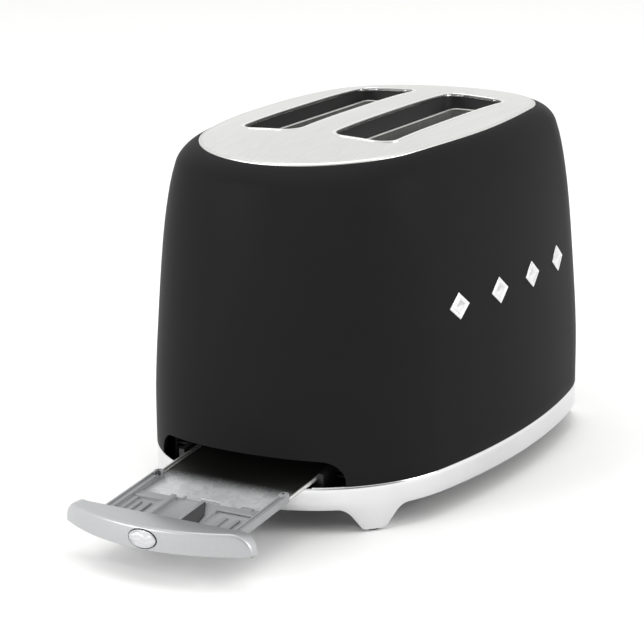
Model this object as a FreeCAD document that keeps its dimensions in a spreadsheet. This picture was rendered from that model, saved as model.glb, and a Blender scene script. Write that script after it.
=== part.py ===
"""Pop up toaster with two long slots, a lever carriage and a crumb tray that slides out.

Frame: +Z up, +X along the toaster towards the control end, origin on the worktop under
the middle of the body. The crumb tray stands at its pulled-out position.
"""
import FreeCAD, Part
import Sketcher
import math
import os

doc = FreeCAD.newDocument("toaster")
V = FreeCAD.Vector

# ---------------------------------------------------------------- driving dimensions (mm)
DIMENSIONS = {
    # plan of the body: an oval of four arcs, drawn in from these half sizes level by level
    "half_length": 154.5,
    "half_width": 97.5,
    "side_radius": 418.7,
    "wall": 2.4,
    "gap": 0.1,
    "move_gap": 0.35,
    # plinth, feet and floor
    "leg_bottom": 1.2,
    "band_bottom": 13.05,
    "band_top": 25.8,
    "band_wall": 3.0,
    "leg_depth": 14.0,
    "floor_bottom": 13.3,
    "floor_top": 16.3,
    # domed top plate
    "plate_half_length": 122.8,
    "plate_half_width": 70.3,
    "plate_side_radius": 369.7,
    "plate_crown": 197.0,
    "plate_thick": 1.2,
    "dome_long_radius": 1013.0,
    "dome_cross_radius": 580.0,
    # bread slots
    "slot_length": 138.8,
    "slot_width": 35.4,
    "slot_centre": 28.5,
    "slot_shift": 3.6,
    "slot_corner": 8.5,
    # toasting chassis
    "chassis_low": -78.0,
    "chassis_high": 84.0,
    "chassis_half_width": 60.0,
    "chassis_bottom": 52.0,
    "chassis_top": 180.0,
    "sheet": 1.0,
    "board_sheet": 0.6,
    "cage_offset": 15.3,
    "cage_wire": 1.6,
    "hinge_pin": 2.4,
    "hinge_height": 57.0,
    "board_offset": 20.9,
    # lever carriage, raised
    "rod_reach": 104.0,
    "rod_size": 5.0,
    "rack_top": 130.0,
    "lever_height": 148.0,
    "travel": 68.0,
    # crumb tray, pulled out; it runs on a slope
    "tray_slope": 6.0,
    "tray_out": 86.95,
    "tray_seat_x": -152.0,
    "tray_seat_height": 25.5,
    "tray_half_width": 40.8,
    "mouth_half_width": 56.4,
    "mouth_top": 40.6,
    "mouth_crown": 42.0,
    "handle_half_width": 55.4,
    "handle_bottom": 17.1,
    "handle_top": 29.2,
    "handle_radius": 100.0,
    # controls
    "knob_height": 50.0,
    "knob_size": 32.0,
    "button_side": 33.0,
    "button_size": 11.0,
}

# height of each level of the body with its inset from the end and from the side
LEVELS = [
    ("foot", 25.8, 3.1, 3.1),
    ("skirt", 58.0, 3.6, 3.6),
    ("belly", 90.0, 5.2, 5.2),
    ("chest", 130.0, 8.5, 8.5),
    ("neck", 160.0, 12.2, 12.2),
    ("shoulder", 180.0, 17.0, 17.0),
    ("brow", 187.0, 24.2, 21.2),
    ("brim", 191.0, 34.0, 25.0),
    ("peak", 194.5, 46.0, 29.0),
]


class Size:
    """A length that carries both its value and the spreadsheet formula it comes from."""

    def __init__(self, value, formula):
        self.value = value
        self.formula = formula

    def combine(self, other, sign, value):
        text = other.formula if isinstance(other, Size) else repr(float(other))
        return Size(value, "(" + self.formula + " " + sign + " " + text + ")")

    def __add__(self, other):
        return self.combine(other, "+", self.value + number(other))

    def __sub__(self, other):
        return self.combine(other, "-", self.value - number(other))

    def __mul__(self, other):
        return self.combine(other, "*", self.value * number(other))

    def __truediv__(self, other):
        return self.combine(other, "/", self.value / number(other))

    def __neg__(self):
        return Size(-self.value, "(0 - " + self.formula + ")")

    def __radd__(self, other):
        return self + other

    def __rsub__(self, other):
        return -self + other

    def __rmul__(self, other):
        return self * other


def number(size):
    return size.value if isinstance(size, Size) else float(size)


def make_sheet():
    """Put every driving dimension into a cell of its own and hand them back as sizes."""
    sheet = doc.addObject("Spreadsheet::Sheet", "dims")
    entries = dict(DIMENSIONS)
    for level, height, end_inset, side_inset in LEVELS:
        entries[level + "_height"] = height
        entries[level + "_end_inset"] = end_inset
        entries[level + "_side_inset"] = side_inset
    sizes = {}
    for row, (alias, value) in enumerate(entries.items(), start=1):
        sheet.set("A" + str(row), alias)
        sheet.set("B" + str(row), str(value))
        sheet.setAlias("B" + str(row), alias)
        sizes[alias] = Size(value, "dims." + alias)
    doc.recompute()
    return sizes


D = make_sheet()


# ---------------------------------------------------------------- building helpers
def bind(obj, path, size):
    """Set a property from a size: sizes follow the sheet, plain numbers are just set."""
    formula = size.formula if isinstance(size, Size) else repr(float(size))
    obj.setExpression(path, formula)


def place(obj, x=0.0, y=0.0, z=0.0):
    bind(obj, "Placement.Base.x", x)
    bind(obj, "Placement.Base.y", y)
    bind(obj, "Placement.Base.z", z)


def box(x, y, z, length, width, height):
    """A box from its low corner and its three sizes."""
    obj = doc.addObject("Part::Box", "Box")
    bind(obj, "Length", length)
    bind(obj, "Width", width)
    bind(obj, "Height", height)
    place(obj, x, y, z)
    return obj


AXES = {"X": V(1, 0, 0), "Y": V(0, 1, 0), "Z": V(0, 0, 1)}


def rod(axis, x, y, z, radius, length):
    """A cylinder that starts at x, y, z and runs along the named axis."""
    obj = doc.addObject("Part::Cylinder", "Rod")
    obj.Placement.Rotation = FreeCAD.Rotation(V(0, 0, 1), AXES[axis])
    bind(obj, "Radius", radius)
    bind(obj, "Height", length)
    place(obj, x, y, z)
    return obj


def join(pieces, label=None):
    obj = doc.addObject("Part::MultiFuse", "Join")
    obj.Shapes = pieces
    return named(obj, label)


def group(pieces, label=None):
    """Separate solids of one sub-part, kept side by side."""
    obj = doc.addObject("Part::Compound", "Group")
    obj.Links = pieces
    return named(obj, label)


def cut(base, tool, label=None):
    obj = doc.addObject("Part::Cut", "Cut")
    obj.Base = base
    obj.Tool = tool
    return named(obj, label)


def common(one, other, label=None):
    obj = doc.addObject("Part::Common", "Common")
    obj.Base = one
    obj.Tool = other
    return named(obj, label)


SUBPARTS = []


def named(obj, label):
    """Register an object as a sub-part under its own label."""
    if label:
        obj.Label = label
        SUBPARTS.append(obj)
    return obj


def new_body(label):
    return named(doc.addObject("PartDesign::Body", "Body"), label)


def new_sketch(body, role, offset=0.0):
    """A sketch on one of the body's own origin planes, moved off it by the offset."""
    sketch = body.newObject("Sketcher::SketchObject", "Sketch")
    plane = [part for part in body.Origin.OriginFeatures if part.Role == role][0]
    sketch.AttachmentSupport = [(plane, "")]
    sketch.MapMode = "FlatFace"
    bind(sketch, "AttachmentOffset.Base.z", offset)
    return sketch


def constrain(sketch, kind, *arguments, size=None):
    """Add a constraint; a dimension is bound to its size."""
    if size is None:
        return sketch.addConstraint(Sketcher.Constraint(kind, *arguments))
    index = sketch.addConstraint(Sketcher.Constraint(kind, *arguments, number(size)))
    bind(sketch, "Constraints[" + str(index) + "]", size)
    return index


def draw_polygon(sketch, points):
    """A closed outline through the points, each held by its two coordinates."""
    count = len(points)
    flat = [V(number(u), number(w), 0) for u, w in points]
    first = sketch.GeometryCount
    for index in range(count):
        sketch.addGeometry(Part.LineSegment(flat[index], flat[(index + 1) % count]), False)
    for index, (u, w) in enumerate(points):
        edge = first + index
        constrain(sketch, "Coincident", first + (index - 1) % count, 2, edge, 1)
        constrain(sketch, "DistanceX", -1, 1, edge, 1, size=u)
        constrain(sketch, "DistanceY", -1, 1, edge, 1, size=w)


def draw_rectangle(sketch, u_low, w_low, u_high, w_high):
    draw_polygon(sketch, [(u_low, w_low), (u_high, w_low), (u_high, w_high), (u_low, w_high)])


def draw_circle(sketch, u, w, radius):
    circle = Part.Circle(V(number(u), number(w), 0), V(0, 0, 1), number(radius))
    index = sketch.addGeometry(circle, False)
    constrain(sketch, "Radius", index, size=radius)
    constrain(sketch, "DistanceX", -1, 1, index, 3, size=u)
    constrain(sketch, "DistanceY", -1, 1, index, 3, size=w)


def draw_oval(sketch, half_length, half_width, side_radius):
    """Four tangent arcs: two large ones along the sides and two small ones at the ends."""
    a = number(half_length)
    b = number(half_width)
    big = number(side_radius)
    small = (big * big - a * a - (big - b) ** 2) / (2 * (big - a))
    turn = math.atan2(big - b, a - small)
    quarter = math.pi / 2
    arcs = [
        (a - small, 0, small, -turn, turn),
        (0, b - big, big, turn, 2 * quarter - turn),
        (small - a, 0, small, 2 * quarter - turn, 2 * quarter + turn),
        (0, big - b, big, 2 * quarter + turn, 4 * quarter - turn),
    ]
    first = sketch.GeometryCount
    for u, w, radius, start, stop in arcs:
        circle = Part.Circle(V(u, w, 0), V(0, 0, 1), radius)
        sketch.addGeometry(Part.ArcOfCircle(circle, start, stop), False)
    for index in range(4):
        constrain(sketch, "Tangent", first + index, 2, first + (index + 1) % 4, 1)
    constrain(sketch, "PointOnObject", first, 3, -1)
    constrain(sketch, "PointOnObject", first + 1, 3, -2)
    constrain(sketch, "Symmetric", first, 3, first + 2, 3, -1, 1)
    constrain(sketch, "Equal", first + 1, first + 3)
    constrain(sketch, "Radius", first + 1, size=side_radius)
    for u, w, kind, axis, arc in ((a, 0, "DistanceX", -1, first), (0, b, "DistanceY", -2, first + 1)):
        tip = sketch.addGeometry(Part.Point(V(u, w, 0)), True)
        constrain(sketch, "PointOnObject", tip, 1, axis)
        constrain(sketch, "PointOnObject", tip, 1, arc)
        constrain(sketch, kind, -1, 1, tip, 1, size=half_length if kind == "DistanceX" else half_width)


def draw_round_slot(sketch, u, w, length, width, corner):
    """A rectangle with rounded corners about the centre u, w."""
    x0, x1 = number(u) - number(length) / 2, number(u) + number(length) / 2
    y0, y1 = number(w) - number(width) / 2, number(w) + number(width) / 2
    r = number(corner)
    first = sketch.GeometryCount
    spots = [(x1 - r, y0 + r, -90), (x1 - r, y1 - r, 0), (x0 + r, y1 - r, 90), (x0 + r, y0 + r, 180)]
    corners = [Part.Circle(V(cx, cy, 0), V(0, 0, 1), r) for cx, cy, start in spots]
    runs = [((x0 + r, y0), (x1 - r, y0)), ((x1, y0 + r), (x1, y1 - r)),
            ((x1 - r, y1), (x0 + r, y1)), ((x0, y1 - r), (x0, y0 + r))]
    for index in range(4):
        start_point, end_point = runs[index]
        sketch.addGeometry(Part.LineSegment(V(*start_point, 0), V(*end_point, 0)), False)
        start = math.radians(spots[index][2])
        sketch.addGeometry(Part.ArcOfCircle(corners[index], start, start + math.pi / 2), False)
    for index in range(8):
        constrain(sketch, "Tangent", first + index, 2, first + (index + 1) % 8, 1)
    for arc in (3, 5, 7):
        constrain(sketch, "Equal", first + 1, first + arc)
    constrain(sketch, "Horizontal", first)
    constrain(sketch, "Vertical", first + 2)
    constrain(sketch, "Radius", first + 1, size=corner)
    low_u, high_u = half_span(u, length)
    low_w, high_w = half_span(w, width)
    constrain(sketch, "DistanceX", -1, 1, first + 6, 1, size=low_u)
    constrain(sketch, "DistanceX", -1, 1, first + 2, 1, size=high_u)
    constrain(sketch, "DistanceY", -1, 1, first, 1, size=low_w)
    constrain(sketch, "DistanceY", -1, 1, first + 4, 1, size=high_w)


def half_span(centre, span):
    """Low and high end of a span about its centre."""
    base = centre if isinstance(centre, Size) else Size(float(centre), repr(float(centre)))
    return base - span / 2, base + span / 2


def pad(body, sketch, length, both_ways=False):
    feature = body.newObject("PartDesign::Pad", "Pad")
    feature.Profile = sketch
    feature.Midplane = both_ways
    bind(feature, "Length", length)
    return feature


def pocket(body, sketch, length, both_ways=False, reverse=False):
    feature = body.newObject("PartDesign::Pocket", "Pocket")
    feature.Profile = sketch
    feature.Midplane = both_ways
    feature.Reversed = reverse
    bind(feature, "Length", length)
    return feature


def round_edges(body, radius, choose):
    """Fillet the edges of the body's last feature that the test picks."""
    doc.recompute()
    tip = body.Tip
    names = ["Edge" + str(n + 1) for n, edge in enumerate(tip.Shape.Edges) if choose(edge)]
    feature = body.newObject("PartDesign::Fillet", "Fillet")
    feature.Base = (tip, names)
    bind(feature, "Radius", radius)
    return feature


# ---------------------------------------------------------------- shapes shared by several sub-parts
def body_loft(body, inset, levels, subtract=False, bottom=None, top=None):
    """Loft through the body's levels, all drawn in by the inset."""
    kind = "PartDesign::SubtractiveLoft" if subtract else "PartDesign::AdditiveLoft"
    sketches = []
    for level in levels:
        height = D[level + "_height"]
        if bottom is not None and level == levels[0]:
            height = bottom
        if top is not None and level == levels[-1]:
            height = top
        sketch = new_sketch(body, "XY_Plane", height)
        draw_oval(sketch,
                  D["half_length"] - D[level + "_end_inset"] - inset,
                  D["half_width"] - D[level + "_side_inset"] - inset,
                  D["side_radius"])
        sketches.append(sketch)
    feature = body.newObject(kind, "Loft")
    feature.Profile = sketches[0]
    feature.Sections = sketches[1:]
    return feature


def dome_sketch(body, sink, headroom):
    """Cross section in the YZ plane: a crowned line sunk below the plate's top, and its cover."""
    sketch = new_sketch(body, "YZ_Plane")
    radius = D["dome_cross_radius"] - sink
    centre = D["plate_crown"] - D["dome_cross_radius"]
    reach = 110.0
    half_angle = math.asin(reach / number(radius))
    circle = Part.Circle(V(0, number(centre), 0), V(0, 0, 1), number(radius))
    arc = Part.ArcOfCircle(circle, math.pi / 2 - half_angle, math.pi / 2 + half_angle)
    sketch.addGeometry(arc, False)
    edge_height = number(centre) + number(radius) * math.cos(half_angle)
    top = number(D["plate_crown"] + headroom)
    corners = [V(-reach, edge_height, 0), V(-reach, top, 0), V(reach, top, 0), V(reach, edge_height, 0)]
    for start, stop in zip(corners, corners[1:]):
        sketch.addGeometry(Part.LineSegment(start, stop), False)
    for index in range(4):
        constrain(sketch, "Coincident", index, 2, (index + 1) % 4, 1)
    constrain(sketch, "PointOnObject", 0, 3, -2)
    constrain(sketch, "Radius", 0, size=radius)
    constrain(sketch, "DistanceY", -1, 1, 0, 3, size=centre)
    constrain(sketch, "Vertical", 1)
    constrain(sketch, "Vertical", 3)
    constrain(sketch, "DistanceX", -1, 1, 2, 2, size=reach)
    constrain(sketch, "Symmetric", 2, 1, 2, 2, -2)
    constrain(sketch, "DistanceY", -1, 1, 2, 1, size=D["plate_crown"] + headroom)
    return sketch


def dome_axis(body):
    """The line across the toaster, far below it, that the dome's cross section turns about."""
    line = body.newObject("PartDesign::Line", "DomeAxis")
    line.Placement.Rotation = FreeCAD.Rotation(V(0, 0, 1), V(0, 1, 0))
    place(line, 0, 0, D["plate_crown"] - D["dome_long_radius"])
    return line


def turn_dome(body, sketch, subtract, sweep=24.0):
    feature = body.newObject("PartDesign::Groove" if subtract else "PartDesign::Revolution", "Dome")
    feature.Profile = sketch
    feature.ReferenceAxis = (dome_axis(body), [""])
    feature.Midplane = True
    feature.Angle = sweep
    return feature


ALL_LEVELS = [level[0] for level in LEVELS]
WALL_LEVELS = ALL_LEVELS[:6]
ARCH_BOTTOM = 20.0
ARCH_CORNER = 8.0
LEVER_SLOT_WIDTH = 8.0
LEVER_SLOT_LENGTH = 92.0
BUTTON_SPOTS = {
    "defrost_button": (-D["button_side"], D["knob_height"] + 10.0),
    "bagel_button": (-D["button_side"], D["knob_height"] - 10.0),
    "reheat_button": (D["button_side"], D["knob_height"] + 10.0),
    "cancel_button": (D["button_side"], D["knob_height"] - 10.0),
}


# ---------------------------------------------------------------- outer shell and plinth
def draw_mouth(sketch):
    """Outline of the tray's mouth: upright sides, rounded top corners and a crowned top edge."""
    half = number(D["mouth_half_width"])
    side = number(D["mouth_top"]) - ARCH_CORNER
    shoulder = half - ARCH_CORNER
    top = number(D["mouth_top"])
    crown = number(D["mouth_crown"])
    knee = ARCH_CORNER * math.sin(math.pi / 4)
    sketch.addGeometry(Part.LineSegment(V(half, side, 0), V(half, ARCH_BOTTOM, 0)), False)
    sketch.addGeometry(Part.LineSegment(V(half, ARCH_BOTTOM, 0), V(-half, ARCH_BOTTOM, 0)), False)
    sketch.addGeometry(Part.LineSegment(V(-half, ARCH_BOTTOM, 0), V(-half, side, 0)), False)
    corner = Part.Arc(V(-half, side, 0), V(-shoulder - knee, side + knee, 0), V(-shoulder, top, 0))
    sketch.addGeometry(corner, False)
    sketch.addGeometry(Part.Arc(V(-shoulder, top, 0), V(0, crown, 0), V(shoulder, top, 0)), False)
    corner = Part.Arc(V(shoulder, top, 0), V(shoulder + knee, side + knee, 0), V(half, side, 0))
    sketch.addGeometry(corner, False)


def make_outer_shell():
    body = new_body("outer_shell")
    body_loft(body, 0.0, ALL_LEVELS)
    low = D["band_top"] - 1.0
    ceiling = D["shoulder_height"] + 3.0
    body_loft(body, D["wall"], WALL_LEVELS, subtract=True, bottom=low, top=ceiling)
    turn_dome(body, dome_sketch(body, D["plate_thick"] + D["gap"], 30.0), subtract=True)
    opening = new_sketch(body, "XY_Plane", D["shoulder_height"])
    ledge = 7.0
    draw_oval(opening, D["plate_half_length"] - ledge, D["plate_half_width"] - ledge,
              D["plate_side_radius"])
    pocket(body, opening, 40.0, reverse=True)
    mouth = new_sketch(body, "YZ_Plane", -(D["half_length"] + 5.0))
    draw_mouth(mouth)
    pocket(body, mouth, 50.0, reverse=True)
    controls = new_sketch(body, "YZ_Plane", D["half_length"] + 5.0)
    draw_lever_slot(controls)
    draw_circle(controls, 0.0, D["knob_height"], D["knob_size"] / 2 - 1.0)
    for side, height in BUTTON_SPOTS.values():
        draw_circle(controls, side, height, D["button_size"] / 2 + D["move_gap"])
    pocket(body, controls, 50.0)


def draw_lever_slot(sketch):
    middle = D["lever_height"] - D["travel"] / 2
    draw_round_slot(sketch, 0.0, middle, LEVER_SLOT_WIDTH, LEVER_SLOT_LENGTH, 2.0)


GLAND_HEIGHT = 21.0
GLAND_RADIUS = 4.6
LEG_ANGLE = 48.6
LEG_CORNER = (120.2, 67.6)
LEG_SIDES = [(1, 1), (-1, 1), (1, -1), (-1, -1)]


def make_base_band():
    """Plinth ring standing on four legs that flare up into its lower edge."""
    length = D["half_length"] - D["foot_end_inset"]
    width = D["half_width"] - D["foot_side_inset"]
    ring = doc.addObject("PartDesign::Body", "LegRing")
    leg_ring = new_sketch(ring, "XY_Plane", D["leg_bottom"])
    draw_oval(leg_ring, length, width, D["side_radius"])
    draw_oval(leg_ring, length - D["leg_depth"], width - D["leg_depth"], D["side_radius"])
    pad(ring, leg_ring, D["band_bottom"] - D["leg_bottom"])
    legs = common(ring, group([leg_prism(x_side, y_side) for x_side, y_side in LEG_SIDES]))
    wall = doc.addObject("PartDesign::Body", "BandWall")
    outline = new_sketch(wall, "XY_Plane", D["band_bottom"])
    draw_oval(outline, length, width, D["side_radius"])
    draw_oval(outline, length - D["band_wall"], width - D["band_wall"], D["side_radius"])
    pad(wall, outline, D["band_top"] - D["band_bottom"])
    notch = new_sketch(wall, "YZ_Plane", -D["half_length"])
    sill = D["tray_seat_height"] - 0.3
    half = D["mouth_half_width"]
    draw_rectangle(notch, -half, sill, half, D["band_top"] + 5.0)
    pocket(wall, notch, 60.0, reverse=True)
    gland = new_sketch(wall, "YZ_Plane", D["half_length"])
    draw_circle(gland, 0.0, GLAND_HEIGHT, GLAND_RADIUS + D["gap"])
    pocket(wall, gland, 40.0)
    join([wall, legs], "base_band")


def leg_prism(x_side, y_side):
    """Column with a leg's front outline, turned to face out of its corner."""
    foot, shin, hip = 6.7, 13.3, 19.5
    foot_height = number(D["leg_bottom"]) - 0.5
    hip_height = number(D["band_bottom"])
    shin_height = hip_height - 3.0
    bend = V((shin + hip) / 2 - 0.9, hip_height - 0.8, 0)
    body = doc.addObject("PartDesign::Body", "LegPrism")
    sketch = new_sketch(body, "YZ_Plane")
    right = [V(foot, foot_height, 0), V(shin, shin_height, 0), V(hip, hip_height, 0)]
    left = [V(-p.x, p.y, 0) for p in right]
    sketch.addGeometry(Part.LineSegment(left[0], right[0]), False)
    sketch.addGeometry(Part.LineSegment(right[0], right[1]), False)
    sketch.addGeometry(Part.Arc(right[1], bend, right[2]), False)
    sketch.addGeometry(Part.LineSegment(right[2], left[2]), False)
    sketch.addGeometry(Part.Arc(left[2], V(-bend.x, bend.y, 0), left[1]), False)
    sketch.addGeometry(Part.LineSegment(left[1], left[0]), False)
    pad(body, sketch, 60.0, both_ways=True)
    heading = math.degrees(math.atan2(y_side * math.sin(math.radians(LEG_ANGLE)),
                                      x_side * math.cos(math.radians(LEG_ANGLE))))
    body.Placement.Rotation = FreeCAD.Rotation(V(0, 0, 1), heading)
    place(body, x_side * LEG_CORNER[0], y_side * LEG_CORNER[1], 0.0)
    return body


def make_foot_pads():
    for name, x_side, y_side in (("front_left", -1, -1), ("front_right", 1, -1),
                                 ("rear_left", -1, 1), ("rear_right", 1, 1)):
        pad_solid = rod("Z", x_side * 116.0, y_side * 62.9, 0.0, 4.4, D["leg_bottom"])
        named(pad_solid, "foot_pad_" + name)


def make_base_plate():
    body = new_body("base_plate")
    length = D["half_length"] - D["foot_end_inset"] - D["band_wall"] - D["gap"]
    width = D["half_width"] - D["foot_side_inset"] - D["band_wall"] - D["gap"]
    floor = new_sketch(body, "XY_Plane", D["floor_bottom"])
    draw_oval(floor, length, width, D["side_radius"])
    pad(body, floor, D["floor_top"] - D["floor_bottom"])
    rows = new_sketch(body, "XY_Plane", D["floor_top"])
    for row in (-52.0, 52.0):
        draw_round_slot(rows, -70.0, row, 5.0, 12.0, 2.0)
    vents = pocket(body, rows, 6.0)
    pattern = body.newObject("PartDesign::LinearPattern", "Vents")
    pattern.Originals = [vents]
    pattern.Direction = (rows, ["H_Axis"])
    pattern.Length = 130.0
    pattern.Occurrences = 14
    body.Tip = pattern


SCREW_SPOTS = [(-60.0, -72.0), (60.0, -72.0), (-60.0, 72.0), (60.0, 72.0)]


def make_base_screws():
    screws = []
    for x, y in SCREW_SPOTS:
        screws.append(rod("Z", x, y, D["floor_bottom"] - 1.6, 3.2, 1.6))
    group(screws, "base_screws")


# ---------------------------------------------------------------- top plate, collars and liners
def make_top_plate():
    body = new_body("top_plate")
    turn_dome(body, dome_sketch(body, D["plate_thick"], 10.0), subtract=False)
    turn_dome(body, dome_sketch(body, 0.0, 30.0), subtract=True, sweep=30.0)
    trim = new_sketch(body, "XY_Plane", 150.0)
    draw_rectangle(trim, -300.0, -200.0, 300.0, 200.0)
    draw_oval(trim, D["plate_half_length"], D["plate_half_width"], D["plate_side_radius"])
    pocket(body, trim, 80.0, reverse=True)
    slots = new_sketch(body, "XY_Plane", 150.0)
    for side in (-1, 1):
        draw_round_slot(slots, D["slot_shift"], D["slot_centre"] * side,
                        D["slot_length"], D["slot_width"], D["slot_corner"])
    pocket(body, slots, 80.0, reverse=True)


def make_slot_tube(label, side, bottom, top, ease, wall, corner):
    """Rounded tube that lines a bread slot, drawn in from the slot by the ease."""
    body = new_body(label)
    sketch = new_sketch(body, "XY_Plane", bottom)
    shift = D["slot_shift"]
    centre = D["slot_centre"] * side
    length = D["slot_length"] - ease * 2
    width = D["slot_width"] - ease * 2
    draw_round_slot(sketch, shift, centre, length, width, corner)
    draw_round_slot(sketch, shift, centre, length - wall * 2, width - wall * 2, corner - wall)
    pad(body, sketch, top - bottom)


COLLAR_SHEET = 0.8
LINER_SHEET = 0.6
LINER_CORNER = 2.5


def make_slot_linings():
    """A collar just outside each slot and, standing in from it, the liner the bread slides past."""
    collar_ease = -0.6
    liner_ease = 3.5
    for name, side in (("front", -1), ("rear", 1)):
        make_slot_tube("slot_collar_" + name, side, D["chassis_top"] + 2.0,
                       D["plate_crown"] - 6.6, collar_ease, COLLAR_SHEET, D["slot_corner"])
        make_slot_tube("slot_liner_" + name, side, D["chassis_top"] - 19.0,
                       D["plate_crown"] - 9.5, liner_ease, LINER_SHEET, LINER_CORNER)


# ---------------------------------------------------------------- toasting chassis
CAGES = {"front_outer": -1, "front_inner": -1, "rear_inner": 1, "rear_outer": 1}


def across(name, offset):
    """Distance across the toaster of something that lines one side of a slot."""
    side = CAGES[name]
    outward = side if name.endswith("outer") else -side
    return D["slot_centre"] * side + offset * outward


def make_chassis_plate(label, x, rack_windows):
    body = new_body(label)
    sketch = new_sketch(body, "YZ_Plane", x)
    half = D["chassis_half_width"]
    low = D["chassis_bottom"]
    high = D["chassis_top"]
    leg = half - 9.0
    foot = D["floor_top"]
    draw_polygon(sketch, [(half, foot), (half, high), (-half, high), (-half, foot),
                          (-leg, foot), (-leg, low), (leg, low), (leg, foot)])
    pad(body, sketch, D["sheet"])
    if rack_windows:
        hanger = new_sketch(body, "XY_Plane", D["chassis_top"] - 4.0)
        draw_rectangle(hanger, x, -8.0, D["rod_reach"] + 8.0, 20.0)
        draw_circle(hanger, D["rod_reach"], 0.0, D["rod_size"] / 2)
        pad(body, hanger, 2.0)
    holes = new_sketch(body, "YZ_Plane", x)
    for name in CAGES:
        draw_circle(holes, across(name, D["cage_offset"]), D["hinge_height"],
                    D["hinge_pin"] / 2 + D["gap"])
    if rack_windows:
        for side in (-1, 1):
            window_low = D["rack_top"] - D["travel"] - 10.0
            window_high = D["rack_top"] + 4.0
            centre = D["slot_centre"] * side
            draw_rectangle(holes, centre - 3.0, window_low, centre + 3.0, window_high)
    pocket(body, holes, D["sheet"], reverse=True)


def make_chassis():
    make_chassis_plate("chassis_plate_tray_end", D["chassis_low"], False)
    make_chassis_plate("chassis_plate_control_end", D["chassis_high"], True)
    start = D["chassis_low"] + D["sheet"]
    length = D["chassis_high"] - start
    height = D["chassis_top"] - D["chassis_bottom"] - 4.0
    low = D["chassis_bottom"] + 2.0
    thin = D["board_sheet"]
    for name, y in (("reflector_front", -57.0), ("centre_shield", 0.0), ("reflector_rear", 57.0)):
        named(box(start, y - number(thin) / 2, low, length, thin, height), name)


RIBBON_TURNS = 9
BOARD_LOW = 62.0
BOARD_HEIGHT = 104.0


def make_heaters():
    """Four insulating boards, each wound with flat heating ribbon."""
    start = D["chassis_low"] + 5.0
    length = D["chassis_high"] - D["chassis_low"] - 9.0
    thin = D["board_sheet"]
    for name in CAGES:
        middle = across(name, D["board_offset"])
        board = box(start, middle - thin / 2, BOARD_LOW, length, thin, BOARD_HEIGHT)
        named(board, "heater_board_" + name)
        turns = []
        for turn in range(RIBBON_TURNS):
            height = BOARD_LOW + 7.0 + turn * 11.0
            inner = thin + 0.1
            outer = thin + 0.7
            around = box(start - 0.4, middle - outer / 2, height, length + 0.8, outer, 2.2)
            hollow = box(start - 0.05, middle - inner / 2, height - 1.0, length + 0.1, inner, 4.2)
            turns.append(cut(around, hollow))
        group(turns, "heater_ribbon_" + name)


CAGE_WIRES = 9


def make_guide_cages():
    """Wire cages that stand either side of the bread and tip in on their lower rails."""
    inside = D["chassis_low"] + 5.0
    span = D["chassis_high"] - D["chassis_low"] - 9.0
    low = D["hinge_height"]
    high = D["chassis_top"] - 22.0
    wire = D["cage_wire"] / 2
    for name in CAGES:
        y = across(name, D["cage_offset"])
        pin = rod("X", D["chassis_low"] - 1.5, y, low, D["hinge_pin"] / 2,
                  D["chassis_high"] - D["chassis_low"] + 4.0)
        pieces = [pin, rod("X", inside, y, high, wire, span)]
        for index in range(CAGE_WIRES):
            x = inside + span * ((index + 0.5) / CAGE_WIRES)
            pieces.append(rod("Z", x, y, low, wire, high - low))
        join(pieces, "guide_cage_" + name)


# ---------------------------------------------------------------- lever carriage
def make_carriage():
    reach = D["rod_reach"]
    rod_radius = D["rod_size"] / 2
    rack_low = D["rack_top"] - 8.0
    yoke_x = D["chassis_high"] + 6.0
    half_yoke = D["slot_centre"] + 5.0
    for name, side in (("front", -1), ("rear", 1)):
        centre = D["slot_centre"] * side
        start = D["chassis_low"] + 8.0
        bar = box(start, centre - 1.0, rack_low, yoke_x - start, 2.0, 6.5)
        fingers = [bar]
        for index in range(10):
            x = start + 6.0 + 14.5 * index
            fingers.append(box(x, centre - 10.0, D["rack_top"] - 1.8, 3.0, 20.0, 1.8))
        join(fingers, "bread_rack_" + name)
    yoke = box(yoke_x, -half_yoke, rack_low, 2.0, half_yoke * 2, 8.0)
    web = box(yoke_x, -3.0, rack_low, reach - yoke_x, 6.0, 30.0)
    sleeve = rod("Z", reach, 0.0, rack_low, rod_radius + 3.5, 30.0)
    lug = box(yoke_x, 10.0, D["rack_top"] - 2.0, 10.0, 8.0, 2.0)
    solid = join([yoke, web, sleeve, lug])
    bore = rod("Z", reach, 0.0, rack_low - 1.0, rod_radius + D["gap"], 32.0)
    cut(solid, bore, "carriage_bracket")
    arm_start = reach + rod_radius + 3.4
    arm_end = D["half_length"] - 2.0
    arm = box(arm_start, -1.5, D["lever_height"] - 5.0, arm_end - arm_start, 3.0, 10.0)
    named(arm, "lever_arm")
    armature = box(yoke_x + 2.0, -30.0, rack_low, 22.0, 18.0, 2.0)
    named(armature, "armature_plate")
    make_lever_knob(arm_end)
    named(rod("Z", reach, 0.0, D["floor_top"], rod_radius, D["chassis_top"] - D["floor_top"] + 3.0),
          "guide_rod")
    spring_low = D["rack_top"]
    cut(rod("Z", yoke_x + 6.0, 14.0, spring_low, 3.4, 46.0),
        rod("Z", yoke_x + 6.0, 14.0, spring_low - 1.0, 2.4, 48.0), "return_spring")


def make_lever_knob(start):
    """Round grip turned about the lever's own line, with a waisted neck."""
    body = new_body("lever_knob")
    sketch = new_sketch(body, "XY_Plane", D["lever_height"])
    x = number(start)
    outline = [(x, 0.0), (x, 6.0), (x + 4.0, 6.0), (x + 8.0, 10.0), (x + 15.0, 11.0),
               (x + 19.0, 8.0), (x + 20.0, 0.0)]
    draw_polygon(sketch, outline)
    feature = body.newObject("PartDesign::Revolution", "Turn")
    feature.Profile = sketch
    feature.ReferenceAxis = (sketch, ["H_Axis"])
    round_edges(body, 2.0, lambda edge: edge.BoundBox.XLength < 0.01 and edge.BoundBox.XMin > x + 7.0)


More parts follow.
